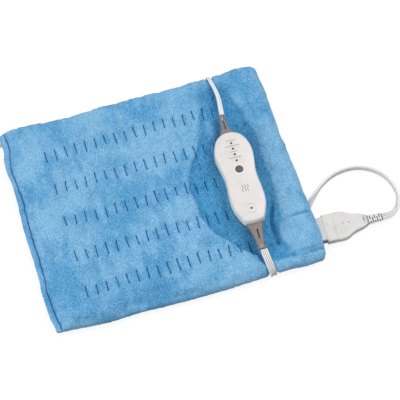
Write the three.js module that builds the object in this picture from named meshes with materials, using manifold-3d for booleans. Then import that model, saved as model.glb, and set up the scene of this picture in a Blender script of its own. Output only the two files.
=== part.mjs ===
// A plush heating pad with its hand controller, modelled in millimetres with +Z up.
// The origin is the centre of the pad's underside, X runs along the pad's long side.

import * as THREE from 'three';
import { mergeVertices } from 'three/addons/utils/BufferGeometryUtils.js';
import Module from 'manifold-3d';

const wasm = await Module();
wasm.setup();

// General fits
const clearance = 0.3; // air between pieces that touch
const overrun = 3; // how far a cutting tool passes the face that it opens
const quarter_turn = Math.PI / 2;
const full_turn = 2 * Math.PI;

// Pad cover
const pad_length = 381;
const pad_width = 317.5;
const pad_crown = 24;
const rim_height = 10; // where the upper and lower panels are sewn together
const rim_roll = 17; // how far in the rounded edge reaches
const foot_inset = 5.5; // how far the floor contact stays inside the rim
const corner_radius = 9;
const draw_in = 1.6; // how far the sides pull in between the corners
const seam_inset = 14.5; // from the left edge to the flange seam
const seam_depth = 6;
const seam_half_width = 7;
const flange_drop = 4;
const strap_dip = 2.4; // the valley that the strapped controller pulls in
const strap_half_width = 14;
const socket_bump = 2.4; // how far the cover rises over the socket
const bump_length = 24;
const bump_width = 26;
const bump_inset = 20;
const foot_edge_pieces = 6;

// Bar tacks sewn through the pad, in columns and rows
const tack_columns = 18;
const tack_rows = 5;
const tack_inset_left = 56.5; // from the pad's edges to the outer tacks
const tack_inset_right = 83.1;
const tack_inset_front = 45.75;
const tack_inset_back = 60.75;
const tack_half_length = 12;
const tack_depth = 2;

// Layers inside the cover
const floor_thickness = 5.8;
const wall_thickness = 13;
const felt_thickness = 2.2;
const felt_margin = 5;
const felt_inset_right = 63.5;
const wire_radius = 1.2;
const wire_sides = 6;
const wire_bend_steps = 5;
const wire_lanes = 16;
const lane_inset_back = 46.75; // from the pad's edges to the middles of the wire's bends
const lane_inset_front = 40.75;
const live_inset = 46.75; // from the front edge to the wire's two ends
const return_inset = 22.75;
const thermostat_width = 8;
const thermostat_length = 16;
const thermostat_lanes = [2, 11]; // the lanes of wire that they lie beside
const lead_radius = 1;
const lead_turn_shares = [0.35, 0.75]; // where each lead turns on its way to the socket

// Controller casing
const controller_inset = 79.5; // from the pad's right edge to the controller's middle
const controller_y = -21.5;
const controller_tilt = THREE.MathUtils.degToRad(-2.4);
const casing_half_width = 26.6;
const casing_half_length = 70.5;
const casing_middle = 2.2; // the outline's middle, from the controller's own origin
const casing_height = 24;
const casing_split = 9;
const casing_wall = 2;
const seat_height = 18.5; // pad surface under the controller
const seat_core_width = 20;
const seat_core_length = 66;
const seat_reach = 14;
const seat_fade = 22;

// Controller screws and board
const boss_radius = 3.1;
const screw_radius = 1.3;
const screw_head_radius = 2.7;
const screw_head_height = 1.8;
const screw_grip = 7;
const screw_recess = 4;
const lower_boss_radius = 4.2;
const screw_place_shares = [[0.647, 0.565], [-0.647, 0.565], [0.617, -0.542], [-0.617, -0.542]];
const board_half_width = 12.5;
const board_end_gap = 17.5; // from each end of the casing to the board
const board_thickness = 1.6;
const post_radius = 2;
const post_place_shares = [[0.64, 0.845], [-0.64, 0.845], [0.64, -0.796], [-0.64, -0.796]];
const chip_size = 10;
const chip_height = 1.8;
const chip_place_share = -0.08;
const relay_length = 19;
const relay_width = 10;
const relay_height = 8;
const relay_place_shares = [0.48, -0.72];
const capacitor_radius = 3.6;
const capacitor_length = 15;
const capacitor_place_shares = [-0.48, -0.66];

// Button and lights
const button_place_share = 0.135;
const button_radius = 5.4;
const button_gap = 0.5;
const button_crown = 0.5;
const button_flange = 7.2;
const button_flange_thickness = 1.2;
const button_recess_radius = 6.9;
const button_recess_depth = 0.5;
const button_travel = 0.8;
const stem_radius = 2;
const switch_size = 6.4;
const switch_height = 4.6;
const switch_bore = 1.9;
const plunger_radius = 1.5;
const plunger_sunk = 2.2;
const plunger_out = 1.4;
const led_radius = 1.2;
const led_dome = 0.5;
const led_place_shares = [0.721, 0.593, 0.465, 0.328, -0.733];

// Boots of the controller
const mains_boot_length = 33.6; // from the casing's end to the boot's tip
const mains_boot_half_width = 11.5;
const pad_boot_length = 37.2;
const pad_boot_half_width = 12.6;
const boot_half_height = 5.2;
const mains_slot_width = 1.6;
const pad_slot_width = 2.2;
const boot_slot_depth = 1.4;
const boot_rib_gap = 1.1;
// The two staggered slots at a boot's tip: how many gaps in, and from where to where across
const boot_rib_shares = [[2, -1, 0.4], [4.4, -0.4, 1]];
const tongue_half_width = 3.4;
const tongue_half_height = 1.9;
const tongue_reach = 4;

// Socket in the pad and the pull-off connector
const connector_reach = 22; // from the pad's right edge to the face where the connector meets
const connector_inset = 41.25; // from the pad's front edge to the connector's axis
const connector_height = 8.5;
const connector_tilt = THREE.MathUtils.degToRad(-3);
const connector_length = 48;
const connector_half_width = 21;
const connector_half_height = 5.5;
const connector_wall = 1.6;
const nose_length = 14;
const nose_root = 9;
const nose_half_width = 17;
const nose_half_height = 3.5;
const nose_play = 0.35;
const collar_length = 13.5;
const collar_half_width = 20.3;
const housing_length = 40;
const housing_half_width = 18;
const housing_half_height = 4.9;
const housing_wall = 1.9;
const socket_depth = 15;
const pin_pitch = 9;
const pin_count = 3;
const pin_radius = 0.95;
const pin_tail = 7;
const pin_tip = 2.5;
const sleeve_radius = 1.65;
const lead_pitch = 10;
const relief_length = 19.7;
const relief_half_width = 6.2;
const relief_half_height = 3.8;
const relief_ribs = 6;
const relief_rib_height = 0.7;
const exit_slot_at = 42;
const exit_slot_length = 1.6;
const exit_slot_width = 5;

// Cords, flat in section
const pad_cord_width = 9.8;
const mains_cord_width = 6.7;
const cord_thickness = 3.4;
const groove_gap = 0.45;
const upright_share = 0.4; // below this level share, a cord counts as running up or down

// Stored coil of the mains cord, wound on edge
const coil_x = -262;
const coil_y = 102.5;
const coil_floor = 1.2;
const coil_inner_radius = 30.3;
const coil_pitch = 4.4;
const coil_layer = 7.35;
const coil_turns = 6.25;
const coil_steps = 24;
const coil_climb_turns = 0.5;
const coil_tail = 17;
const tie_thickness = 0.7;
const tie_width = 9;
const tie_corner = 2;

// Mains plug
const plug_relief_length = 20;
const plug_body_length = 30;
const plug_half_height = 11.5;
const plug_half_thickness = 7.5;
const blade_length = 17.5;
const blade_seat = 5;
const blade_thickness = 1.5;
const blade_narrow = 6.35;
const blade_wide = 7.9;
const blade_spacing = 12.7;
const blade_hole = 1.6;
const blade_hole_inset = 4;

// Finishes
const finish = (color, roughness, metalness = 0) =>
  new THREE.MeshStandardMaterial({ color, roughness, metalness });
const plush = finish(0x5aa3d6, 0.95);
const felt = finish(0xe8e4da, 0.95);
const white_plastic = finish(0xe4e1df, 0.4);
const grey_rubber = finish(0x827673, 0.6);
const button_rubber = finish(0x6a6064, 0.6);
const lamp = finish(0x4a2020, 0.2);
const cord_vinyl = finish(0xebe9e7, 0.45);
const copper_wire = finish(0xc98f5a, 0.4);
const brass = finish(0xc8a860, 0.35, 0.9);
const steel = finish(0xb8b8ba, 0.35, 0.9);
const board_green = finish(0x2f6b45, 0.5);
const black_resin = finish(0x202022, 0.5);

// Geometry tools
function solid(geometry) {
  const bare = geometry.clone();
  for (const name of Object.keys(bare.attributes)) {
    if (name !== 'position') bare.deleteAttribute(name);
  }
  const merged = mergeVertices(bare, clearance / 1000);
  return new wasm.Manifold(new wasm.Mesh({
    numProp: 3,
    vertProperties: new Float32Array(merged.attributes.position.array),
    triVerts: new Uint32Array(merged.index.array),
  }));
}

function surface(manifold) {
  const mesh = manifold.getMesh();
  const geometry = new THREE.BufferGeometry();
  geometry.setAttribute('position', new THREE.BufferAttribute(Float32Array.from(mesh.vertProperties), 3));
  geometry.setIndex(new THREE.BufferAttribute(Uint32Array.from(mesh.triVerts), 1));
  geometry.computeVertexNormals();
  return geometry;
}

const cut = (base, tools) => surface(tools.reduce((body, tool) => body.subtract(solid(tool)), solid(base)));
const join = parts => surface(parts.map(solid).reduce((body, part) => body.add(part)));
const common = (a, b) => surface(solid(a).intersect(solid(b)));

function closed(points, faces) {
  let volume = 0;
  for (let f = 0; f < faces.length; f += 3) {
    const [a, b, c] = [points[faces[f]], points[faces[f + 1]], points[faces[f + 2]]];
    volume += a[0] * (b[1] * c[2] - b[2] * c[1]) - a[1] * (b[0] * c[2] - b[2] * c[0])
      + a[2] * (b[0] * c[1] - b[1] * c[0]);
  }
  const geometry = new THREE.BufferGeometry();
  geometry.setAttribute('position', new THREE.Float32BufferAttribute(points.flat(), 3));
  geometry.setIndex(volume < 0 ? faces.reverse() : faces);
  geometry.computeVertexNormals();
  return geometry;
}

// Skins a row of rings that have equally many points, and closes both ends with fans
function loft(rings) {
  const count = rings[0].length;
  const points = rings.flat();
  const faces = [];
  for (let r = 0; r + 1 < rings.length; r++) {
    for (let i = 0; i < count; i++) {
      const a = r * count + i;
      const b = r * count + (i + 1) % count;
      faces.push(a, b, b + count, a, b + count, a + count);
    }
  }
  for (const [ring, start, forward] of [[rings[0], 0, false], [rings.at(-1), points.length - count, true]]) {
    const middle = [0, 1, 2].map(axis => ring.reduce((sum, p) => sum + p[axis], 0) / count);
    const centre = points.push(middle) - 1;
    for (let i = 0; i < count; i++) {
      const a = start + i;
      const b = start + (i + 1) % count;
      faces.push(...(forward ? [centre, a, b] : [centre, b, a]));
    }
  }
  return closed(points, faces);
}

function block(low, high) {
  const size = high.map((value, axis) => value - low[axis]);
  return new THREE.BoxGeometry(...size).translate(...low.map((value, axis) => value + size[axis] / 2));
}

// A rod along Z from low to high
function rod(radius, low, high, u = 0, v = 0, sides = 16) {
  const geometry = new THREE.CylinderGeometry(radius, radius, high - low, sides);
  return geometry.rotateX(quarter_turn).translate(u, v, (low + high) / 2);
}

// A rod along X from low to high
function cross_rod(radius, low, high, y = 0, z = 0, sides = 12) {
  const geometry = new THREE.CylinderGeometry(radius, radius, high - low, sides);
  return geometry.rotateZ(quarter_turn).translate((low + high) / 2, y, z);
}

// An oblong of half sizes a and b with rounded corners, as points round its middle
function oblong(a, b, radius, corner_steps = 3) {
  const r = Math.min(radius, a, b);
  const ring = [];
  [[1, 1], [-1, 1], [-1, -1], [1, -1]].forEach(([sx, sy], corner) => {
    for (let i = 0; i <= corner_steps; i++) {
      const angle = (corner + i / corner_steps) * quarter_turn;
      ring.push([sx * (a - r) + r * Math.cos(angle), sy * (b - r) + r * Math.sin(angle)]);
    }
  });
  return ring;
}

const blend = (from, to, t) => from + (to - from) * t;
const smooth = t => { const s = THREE.MathUtils.clamp(t, 0, 1); return s * s * (3 - 2 * s); };
const bell = t => Math.exp(-t * t);

const object = new THREE.Group();
function place(name, geometry, material, group = object) {
  const mesh = new THREE.Mesh(geometry, material);
  mesh.name = name;
  group.add(mesh);
}

// Places on the pad, from its edges
const half_length = pad_length / 2;
const half_width = pad_width / 2;
const first_tack_x = tack_inset_left - half_length;
const tack_pitch = (pad_length - tack_inset_left - tack_inset_right) / (tack_columns - 1);
const first_row_y = tack_inset_front - half_width;
const row_pitch = (pad_width - tack_inset_front - tack_inset_back) / (tack_rows - 1);
const felt_right = half_length - felt_inset_right;
const controller_x = half_length - controller_inset;
const connector_x = half_length + connector_reach;
const connector_y = connector_inset - half_width;

// Places on the controller, from its outline's middle
const board_half_length = casing_half_length - board_end_gap;
const on_casing = ([u, v]) => [u * casing_half_width, casing_middle + v * casing_half_length];
const on_board = ([u, v]) => [u * board_half_width, casing_middle + v * board_half_length];
const [, button_v] = on_casing([0, button_place_share]);
const screw_places = screw_place_shares.map(on_casing);
const led_places = led_place_shares.map(share => on_casing([0, share])[1]);

// Heights that stack up from the floor
const felt_lower_z = floor_thickness + clearance;
const wire_z = felt_lower_z + felt_thickness + clearance + wire_radius;
const felt_upper_z = wire_z + wire_radius + clearance;
const ceiling_z = felt_upper_z + felt_thickness + clearance;
const casing_z = seat_height + clearance;

const controller = new THREE.Group();
controller.position.set(controller_x, controller_y, casing_z);
controller.rotation.z = controller_tilt;
object.add(controller);

const socket = new THREE.Group();
socket.position.set(connector_x, connector_y, connector_height);
socket.rotation.z = connector_tilt;
object.add(socket);
socket.updateMatrix();

// Flat cords: a section swept through the route's own points. Each lay is how far the flat
// side is turned up there, in quarter turns: 0 lies flat, 1 stands on edge.
class FlatCord extends THREE.Curve {
  constructor(route, lay_shares) {
    super();
    this.stations = route.map(point => new THREE.Vector3(...point));
    this.lays = lay_shares;
  }

  getPoint(t) {
    const at = t * (this.stations.length - 1);
    const low = Math.min(Math.floor(at), this.stations.length - 2);
    return this.stations[low].clone().lerp(this.stations[low + 1], at - low);
  }

  getSpacedPoints() {
    return this.stations;
  }

  computeFrenetFrames() {
    const up = new THREE.Vector3(0, 0, 1);
    const tangents = [];
    const normals = [];
    const binormals = [];
    let side = new THREE.Vector3();
    this.stations.forEach((point, i) => {
      const before = this.stations[Math.max(i - 1, 0)];
      const after = this.stations[Math.min(i + 1, this.stations.length - 1)];
      const along = after.clone().sub(before).normalize();
      const level = along.clone().cross(up);
      if (level.length() < upright_share) level.copy(side).addScaledVector(along, -side.dot(along));
      level.normalize();
      if (i > 0 && level.dot(side) < 0) level.negate();
      side = level.clone();
      const wide = level.clone().applyAxisAngle(along, this.lays[i] * quarter_turn);
      tangents.push(along);
      normals.push(wide);
      binormals.push(along.clone().cross(wide));
    });
    return { tangents, normals, binormals };
  }
}

function flat_cord(cord, width, thickness) {
  const reach = (width - thickness) / 2;
  const section = new THREE.Shape();
  section.absarc(reach, 0, thickness / 2, -quarter_turn, quarter_turn);
  section.absarc(-reach, 0, thickness / 2, quarter_turn, 3 * quarter_turn);
  return new THREE.ExtrudeGeometry(section,
    { steps: cord.stations.length - 1, extrudePath: cord, curveSegments: 2 });
}

// Route of the pad's cord: out of the lower boot, over the front edge, under the pad, out at
// the right edge and round to the connector
const pad_cord_route = [
  [108.05, -127.8, 27.9], [108.3, -134, 26.8], [108.9, -143, 25.6], [109.8, -151, 23.2],
  [110.8, -157.4, 18.9], [111.8, -160.9, 12.6], [112.6, -160, 6.4], [113.2, -154.6, 2.4],
  [113.5, -146, 1.9], [114.4, -133, 1.9], [119, -119, 1.9], [128, -108, 1.9], [141, -99.5, 1.9],
  [156, -93.2, 1.9], [171, -87, 1.9], [183, -79.8, 2.2], [192.5, -72, 3.4], [204, -61.6, 4.7],
  [219, -49.6, 5.2], [237, -40.2, 5.2], [256, -36.6, 5.2], [275, -38.4, 5.2], [292, -46.6, 5.2],
  [305, -59.6, 5.2], [312.4, -76.2, 5.2], [313.9, -93.5, 5.2], [309, -108, 5.6],
  [300, -117.4, 6.9], [290, -121, 8.1], [280.75, -121.07, 8.5],
];
const pad_cord_lay_shares = [
  0, 0, 0, 0, 0, 0, 0, 0, 0, 0, 0, 0, 0, 0, 0, 0.1, 0.4, 0.8, 1, 1, 1, 1, 1, 1, 1, 1, 0.8, 0.4, 0.1, 0,
];
// Route of the mains cord: out of the upper boot, over the back edge, under the pad to the left
// edge, and up to its stored coil
const mains_cord_route = [
  [117.25, 85.2, 27.9], [118.5, 95, 27], [120.2, 106, 26.3], [121.2, 117, 26.3], [120.9, 128, 26.5],
  [119.9, 138, 26.6], [119.3, 147, 25.4], [119.1, 154.6, 21.6], [119.1, 160, 15.4],
  [119.2, 161.2, 8.6], [119.4, 157, 3.2], [119.6, 149.5, 1.9], [119.2, 136, 1.9], [114.5, 122, 1.9],
  [103, 111.5, 1.9], [87, 106, 1.9], [68, 104.5, 1.9], [48, 104.5, 1.9], [28, 105, 1.9],
  [8, 105.5, 1.9], [-12, 106, 1.9], [-32, 107, 1.9], [-52, 108.4, 1.9], [-72, 110.6, 1.9],
  [-92, 113.8, 1.9], [-112, 118.4, 1.9], [-131, 124.6, 1.9], [-149, 132, 1.9], [-167, 139.4, 1.9],
  [-185, 144.4, 2], [-202, 146.1, 2.7], [-219, 146.2, 3.9], [-236, 146.2, 4.5],
  [-254.95, 146.2, 4.55],
];
const mains_cord_lay_shares = [
  0, 0, 0, 0.1, 0.2, 0.25, 0.2, 0.1, 0, 0, 0, 0, 0, 0, 0, 0, 0, 0, 0, 0, 0, 0, 0, 0, 0, 0, 0, 0, 0,
  0, 0.3, 0.7, 1, 1,
];
const pad_cord = new FlatCord(pad_cord_route, pad_cord_lay_shares);
const mains_cord = new FlatCord(mains_cord_route, mains_cord_lay_shares);
const cord_grooves = () => [
  flat_cord(pad_cord, pad_cord_width + 2 * groove_gap, cord_thickness + 2 * groove_gap),
  flat_cord(mains_cord, mains_cord_width + 2 * groove_gap, cord_thickness + 2 * groove_gap),
];
place('pad_cord', flat_cord(pad_cord, pad_cord_width, cord_thickness), cord_vinyl);
place('mains_cord_run', flat_cord(mains_cord, mains_cord_width, cord_thickness), cord_vinyl);

// Pad cover: the sides pull in between the corners, and the corners are round
function drawn_in(x, y) {
  const along_x = x / half_length;
  const along_y = y / half_width;
  return [
    x - draw_in * along_x ** 3 * (1 - along_y ** 2),
    y - draw_in * along_y ** 3 * (1 - along_x ** 2),
  ];
}

function round_corner(x, y) {
  const dx = Math.abs(x) - (half_length - corner_radius);
  const dy = Math.abs(y) - (half_width - corner_radius);
  if (dx <= 0 || dy <= 0) return [x, y];
  const scale = Math.max(dx, dy) / Math.hypot(dx, dy);
  return [
    Math.sign(x) * (half_length - corner_radius + dx * scale),
    Math.sign(y) * (half_width - corner_radius + dy * scale),
  ];
}

// How far a place lies outside the controller's footprint
function from_controller(x, y) {
  const dx = x - controller_x;
  const dy = y - controller_y;
  const u = dx * Math.cos(controller_tilt) + dy * Math.sin(controller_tilt);
  const v = dy * Math.cos(controller_tilt) - dx * Math.sin(controller_tilt);
  return {
    u,
    gap: Math.hypot(Math.max(Math.abs(u) - seat_core_width, 0),
      Math.max(Math.abs(v - casing_middle) - seat_core_length, 0)),
  };
}

function cover_top(x, y) {
  const inward = Math.min(half_length - Math.abs(x), half_width - Math.abs(y));
  const turn = Math.min(inward / rim_roll, 1);
  let z = rim_height + (pad_crown - rim_height) * Math.sqrt(1 - (1 - turn) ** 2);
  const rise = smooth(inward / rim_roll);
  const seam_x = -half_length + seam_inset;
  z -= rise * seam_depth * bell((x - seam_x) / seam_half_width);
  if (x < seam_x) z -= rise * flange_drop;
  const column = Math.round((x - first_tack_x) / tack_pitch);
  const row = Math.round((y - first_row_y) / row_pitch);
  const off_x = x - first_tack_x - column * tack_pitch;
  const off_y = y - first_row_y - row * row_pitch;
  if (column >= 0 && column < tack_columns && Math.abs(off_x) < tack_pitch / 4) {
    z -= tack_depth * smooth(1 - Math.abs(off_y) / tack_half_length);
  }
  const near = from_controller(x, y);
  z -= rise * strap_dip * bell(near.u / strap_half_width);
  z += rise * socket_bump * bell((x - half_length + bump_inset) / bump_length)
    * bell((y - connector_y) / bump_width);
  const seated = smooth((seat_reach + seat_fade - near.gap) / seat_fade);
  return Math.min(z, blend(z, seat_height, seated));
}

function cover_stations() {
  const columns = [-half_length, -half_length + rim_roll / 4, -half_length + seam_inset,
    -half_length + seam_inset + seam_half_width, -half_length + 2 * (seam_inset + seam_half_width / 2)];
  for (let i = 0; i < tack_columns; i++) {
    columns.push(first_tack_x + i * tack_pitch);
    if (i + 1 < tack_columns) columns.push(first_tack_x + (i + 0.5) * tack_pitch);
  }
  const last = first_tack_x + (tack_columns - 1) * tack_pitch;
  for (const share of [0.2, 0.4, 0.6]) columns.push(blend(last, half_length, share));
  columns.push(half_length - rim_roll, half_length - rim_roll / 2, half_length - rim_roll / 6, half_length);
  const rows = [-half_width, -half_width + rim_roll / 6, -half_width + rim_roll / 2, -half_width + rim_roll];
  for (let i = 0; i < tack_rows; i++) {
    const middle = first_row_y + i * row_pitch;
    rows.push(middle - tack_half_length, middle, middle + tack_half_length);
  }
  rows.push(half_width - rim_roll, half_width - rim_roll / 2, half_width - rim_roll / 6, half_width);
  return { columns, rows };
}

function cover_crown() {
  const { columns, rows } = cover_stations();
  const points = [];
  const faces = [];
  const index = (c, r) => r * columns.length + c;
  for (const y of rows) {
    for (const x of columns) {
      const [rx, ry] = round_corner(x, y);
      const edge = Math.abs(x) === half_length || Math.abs(y) === half_width;
      const z = edge ? rim_height + clearance / 2 : cover_top(rx, ry);
      points.push([...drawn_in(rx, ry), z]);
    }
  }
  for (let r = 0; r + 1 < rows.length; r++) {
    for (let c = 0; c + 1 < columns.length; c++) {
      const a = index(c, r);
      const b = index(c + 1, r);
      const d = index(c, r + 1);
      const e = index(c + 1, r + 1);
      faces.push(...((r + c) % 2 ? [a, b, e, a, e, d] : [a, b, d, b, e, d]));
    }
  }
  const rim = [];
  for (let c = 0; c < columns.length; c++) rim.push(index(c, 0));
  for (let r = 1; r < rows.length; r++) rim.push(index(columns.length - 1, r));
  for (let c = columns.length - 2; c >= 0; c--) rim.push(index(c, rows.length - 1));
  for (let r = rows.length - 2; r > 0; r--) rim.push(index(0, r));
  const centre = points.push([0, 0, rim_height + clearance / 2]) - 1;
  rim.forEach((a, i) => faces.push(centre, rim[(i + 1) % rim.length], a));
  return closed(points, faces);
}

function cover_foot() {
  const ring = (inset, z) => oblong(half_length - inset, half_width - inset, corner_radius)
    .flatMap(([x, y], i, all) => {
      const [nx, ny] = all[(i + 1) % all.length];
      const pieces = Math.hypot(nx - x, ny - y) > 4 * corner_radius ? foot_edge_pieces : 1;
      return Array.from({ length: pieces }, (_, k) => {
        const [px, py] = drawn_in(blend(x, nx, k / pieces), blend(y, ny, k / pieces));
        return [px, py, z];
      });
    });
  return loft([ring(foot_inset, 0), ring(foot_inset / 4, rim_height / 3),
    ring(0, rim_height - clearance / 2)]);
}

// Hollow that holds the heated layers, and the pocket that the socket passes through
const hollow_left = -half_length + seam_inset + wall_thickness / 2;
const hollow = block([hollow_left, -half_width + wall_thickness, floor_thickness],
  [half_length - wall_thickness, half_width - wall_thickness, ceiling_z]);
const pocket_reach = Math.max(housing_length + clearance, connector_reach + wall_thickness + overrun);
const pocket = block(
  [-pocket_reach, -collar_half_width - clearance, -connector_half_height - clearance],
  [overrun, collar_half_width + clearance, connector_half_height + clearance],
).applyMatrix4(socket.matrix);
place('cover_upper_panel', cut(cover_crown(), [hollow, pocket, ...cord_grooves()]), plush);
place('cover_lower_panel', cut(cover_foot(), [hollow, pocket, ...cord_grooves()]), plush);

// Heated layers
const felt_low = [hollow_left + felt_margin, -half_width + wall_thickness + felt_margin / 2];
const felt_high = [felt_right, half_width - wall_thickness - felt_margin];
for (const [name, z] of [['felt_lower', felt_lower_z], ['felt_upper', felt_upper_z]]) {
  place(name, block([...felt_low, z], [...felt_high, z + felt_thickness]), felt);
}

// The wire runs to and fro between the columns of tacks, and returns along the front
function wire_path() {
  const bend = tack_pitch / 2;
  const points = [];
  const arc = (x, y, from, to) => {
    for (let i = 0; i <= wire_bend_steps; i++) {
      const angle = blend(from, to, i / wire_bend_steps);
      points.push([x + bend * Math.cos(angle), y + bend * Math.sin(angle), wire_z]);
    }
  };
  const lane = k => first_tack_x + (tack_columns - 1.5 - k) * tack_pitch;
  const live_row = live_inset - half_width;
  const return_row = return_inset - half_width;
  points.push([felt_right, live_row, wire_z]);
  arc(lane(0) + bend, live_row + bend, -quarter_turn, -2 * quarter_turn);
  for (let k = 0; k + 1 < wire_lanes; k++) {
    const middle = lane(k) - bend;
    if (k % 2 === 0) arc(middle, half_width - lane_inset_back, 0, 2 * quarter_turn);
    else arc(middle, lane_inset_front - half_width, 0, -2 * quarter_turn);
  }
  arc(lane(wire_lanes - 1) + bend, return_row + bend, -2 * quarter_turn, -quarter_turn);
  points.push([felt_right, return_row, wire_z]);
  return points.reverse().map(point => new THREE.Vector3(...point));
}

// A round tube through the given points, each ring square to the path there
function tube(path, radius, sides) {
  const rings = path.map((point, i) => {
    const before = path[Math.max(i - 1, 0)];
    const after = path[Math.min(i + 1, path.length - 1)];
    const along = after.clone().sub(before).normalize();
    const side = along.clone().cross(new THREE.Vector3(0, 0, 1)).normalize();
    const up = side.clone().cross(along);
    return Array.from({ length: sides }, (_, k) => {
      const angle = k / sides * full_turn;
      return point.clone().addScaledVector(side, radius * Math.cos(angle))
        .addScaledVector(up, radius * Math.sin(angle)).toArray();
    });
  });
  return loft(rings);
}

place('heating_wire', tube(wire_path(), wire_radius, wire_sides), copper_wire);
thermostat_lanes.forEach((column, i) => {
  const low_x = first_tack_x + (column + 0.5) * tack_pitch + wire_radius + clearance;
  const low_y = first_row_y + (i + 1.5) * row_pitch;
  place(`thermostat_${i + 1}`, block([low_x, low_y, wire_z - wire_radius],
    [low_x + thermostat_width, low_y + thermostat_length, wire_z + wire_radius]), steel);
});

// Leads from the wire's ends to the back of the socket
const lead_end = housing_length - housing_wall - 2 * wire_radius;
const lead_bends = [
  ['inlet_lead_live', live_inset - half_width, lead_pitch / 2],
  ['inlet_lead_return', return_inset - half_width, -lead_pitch / 2],
];
for (const [name, row, offset] of lead_bends) {
  const entry = new THREE.Vector3(-housing_length - 3 * wire_radius, offset, 0).applyMatrix4(socket.matrix);
  const end = new THREE.Vector3(-lead_end, offset, 0).applyMatrix4(socket.matrix);
  const start = new THREE.Vector3(felt_right + clearance, row, wire_z);
  const bends = lead_turn_shares.map((share, i) => new THREE.Vector3(
    blend(start.x, entry.x, share), i === 0 ? row : entry.y, blend(start.z, entry.z, share)));
  place(name, tube([start, ...bends, entry, end], lead_radius, wire_sides), copper_wire);
}

// Socket in the pad's edge: a wide collar, a narrower body behind it, and three pins
const across = (width, height, radius, x) =>
  oblong(width, height, radius).map(([y, z]) => [x, y, z]);

function inlet_housing() {
  const collar = loft([
    across(collar_half_width, connector_half_height, connector_wall, -collar_length),
    across(collar_half_width, connector_half_height, connector_wall, -clearance / 2),
  ]);
  const body = loft([
    across(housing_half_width, housing_half_height, connector_wall, -housing_length),
    across(housing_half_width, housing_half_height, connector_wall, -collar_length + connector_wall),
  ]);
  const mouth = block([-socket_depth, -nose_half_width - nose_play, -nose_half_height - nose_play],
    [overrun, nose_half_width + nose_play, nose_half_height + nose_play]);
  const chamber = block(
    [-housing_length + housing_wall, -housing_half_width + housing_wall, -housing_half_height + housing_wall],
    [-socket_depth - housing_wall, housing_half_width - housing_wall, housing_half_height - housing_wall],
  );
  const tools = [mouth, chamber];
  for (const offset of [-lead_pitch / 2, lead_pitch / 2]) {
    tools.push(cross_rod(lead_radius + clearance, -housing_length - overrun,
      -housing_length + 2 * housing_wall, offset));
  }
  for (const y of pin_offsets) {
    tools.push(cross_rod(pin_radius + clearance, -socket_depth - 2 * housing_wall,
      -socket_depth + overrun, y));
  }
  return cut(join([collar, body]), tools);
}

const pin_offsets = Array.from({ length: pin_count }, (_, i) => (i - (pin_count - 1) / 2) * pin_pitch);
place('inlet_housing', inlet_housing(), white_plastic, socket);
pin_offsets.forEach((y, i) => {
  place(`inlet_pin_${i + 1}`, cross_rod(pin_radius, -socket_depth - pin_tail, -pin_tip, y), brass, socket);
});

// Pull-off connector: its outline narrows from the grip to the ribbed sleeve
const connector_outline_shares = [
  [0, 0.967], [0.04, 0.985], [0.17, 1], [0.33, 0.925], [0.48, 0.735], [0.63, 0.605], [0.8, 0.51],
  [0.92, 0.4], [1, 0.31],
];
const connector_height_shares = [0.93, 1, 1, 1, 1, 0.96, 0.9, 0.84, 0.78];

function connector_body(shrink, low, high) {
  return loft(connector_outline_shares.map(([along, width], i) => across(
    connector_half_width * width - shrink,
    connector_half_height * connector_height_shares[i] - shrink,
    2 * connector_wall,
    THREE.MathUtils.clamp(along * connector_length, low, high) + along * clearance,
  )));
}

function connector_shell(side) {
  const far = 2 * connector_half_width;
  const half = side > 0
    ? block([-far, -far, clearance / 2], [2 * far, far, far])
    : block([-far, -far, -far], [2 * far, far, -clearance / 2]);
  const outer = connector_body(0, clearance / 2, connector_length);
  const inner = connector_body(connector_wall, connector_wall, connector_length - connector_wall);
  const mouth = block([-overrun, -nose_half_width - clearance, -nose_half_height - clearance],
    [2 * connector_wall, nose_half_width + clearance, nose_half_height + clearance]);
  const neck = block([connector_length - 2 * connector_wall, -tongue_half_width - clearance,
    -tongue_half_height - clearance], [connector_length + overrun, tongue_half_width + clearance,
    tongue_half_height + clearance]);
  const tools = [inner, mouth, neck];
  if (side > 0) {
    tools.push(block([exit_slot_at, -exit_slot_width / 2, 0],
      [exit_slot_at + exit_slot_length, exit_slot_width / 2, far]));
  }
  return cut(common(outer, half), tools);
}

place('connector_upper_shell', connector_shell(1), white_plastic, socket);
place('connector_lower_shell', connector_shell(-1), white_plastic, socket);

const contact_block = cut(
  block([-nose_length, -nose_half_width, -nose_half_height], [nose_root, nose_half_width, nose_half_height]),
  pin_offsets.map(y => cross_rod(sleeve_radius + clearance, -nose_length - overrun, nose_root + overrun, y)),
);
place('contact_block', contact_block, white_plastic, socket);
pin_offsets.forEach((y, i) => {
  const sleeve = cut(cross_rod(sleeve_radius, -nose_length + clearance, nose_root, y),
    [cross_rod(pin_radius + clearance, -nose_length - overrun, nose_root - connector_wall, y)]);
  place(`contact_${i + 1}`, sleeve, brass, socket);
});

// Ribbed sleeve: each rib is a wide ring between two narrow ones
function strain_relief() {
  const rings = [];
  const start = connector_length + 2 * clearance;
  for (let i = 0; i < 2 * relief_ribs; i++) {
    const share = i / (2 * relief_ribs - 1);
    const proud = i % 2 === 0 ? relief_rib_height : 0;
    const step = relief_length / relief_ribs / 2;
    const width = blend(relief_half_width, pad_cord_width / 2 + relief_rib_height, share) + proud;
    const height = blend(relief_half_height, cord_thickness / 2 + relief_rib_height, share) + proud;
    rings.push(across(width, height, height, start + i * step));
    rings.push(across(width, height, height, start + (i + 1) * step - clearance));
  }
  const tongue = block([connector_length - tongue_reach, -tongue_half_width, -tongue_half_height],
    [start + connector_wall, tongue_half_width, tongue_half_height]);
  return join([loft(rings), tongue]);
}

place('connector_strain_relief', strain_relief(), white_plastic, socket);

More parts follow.
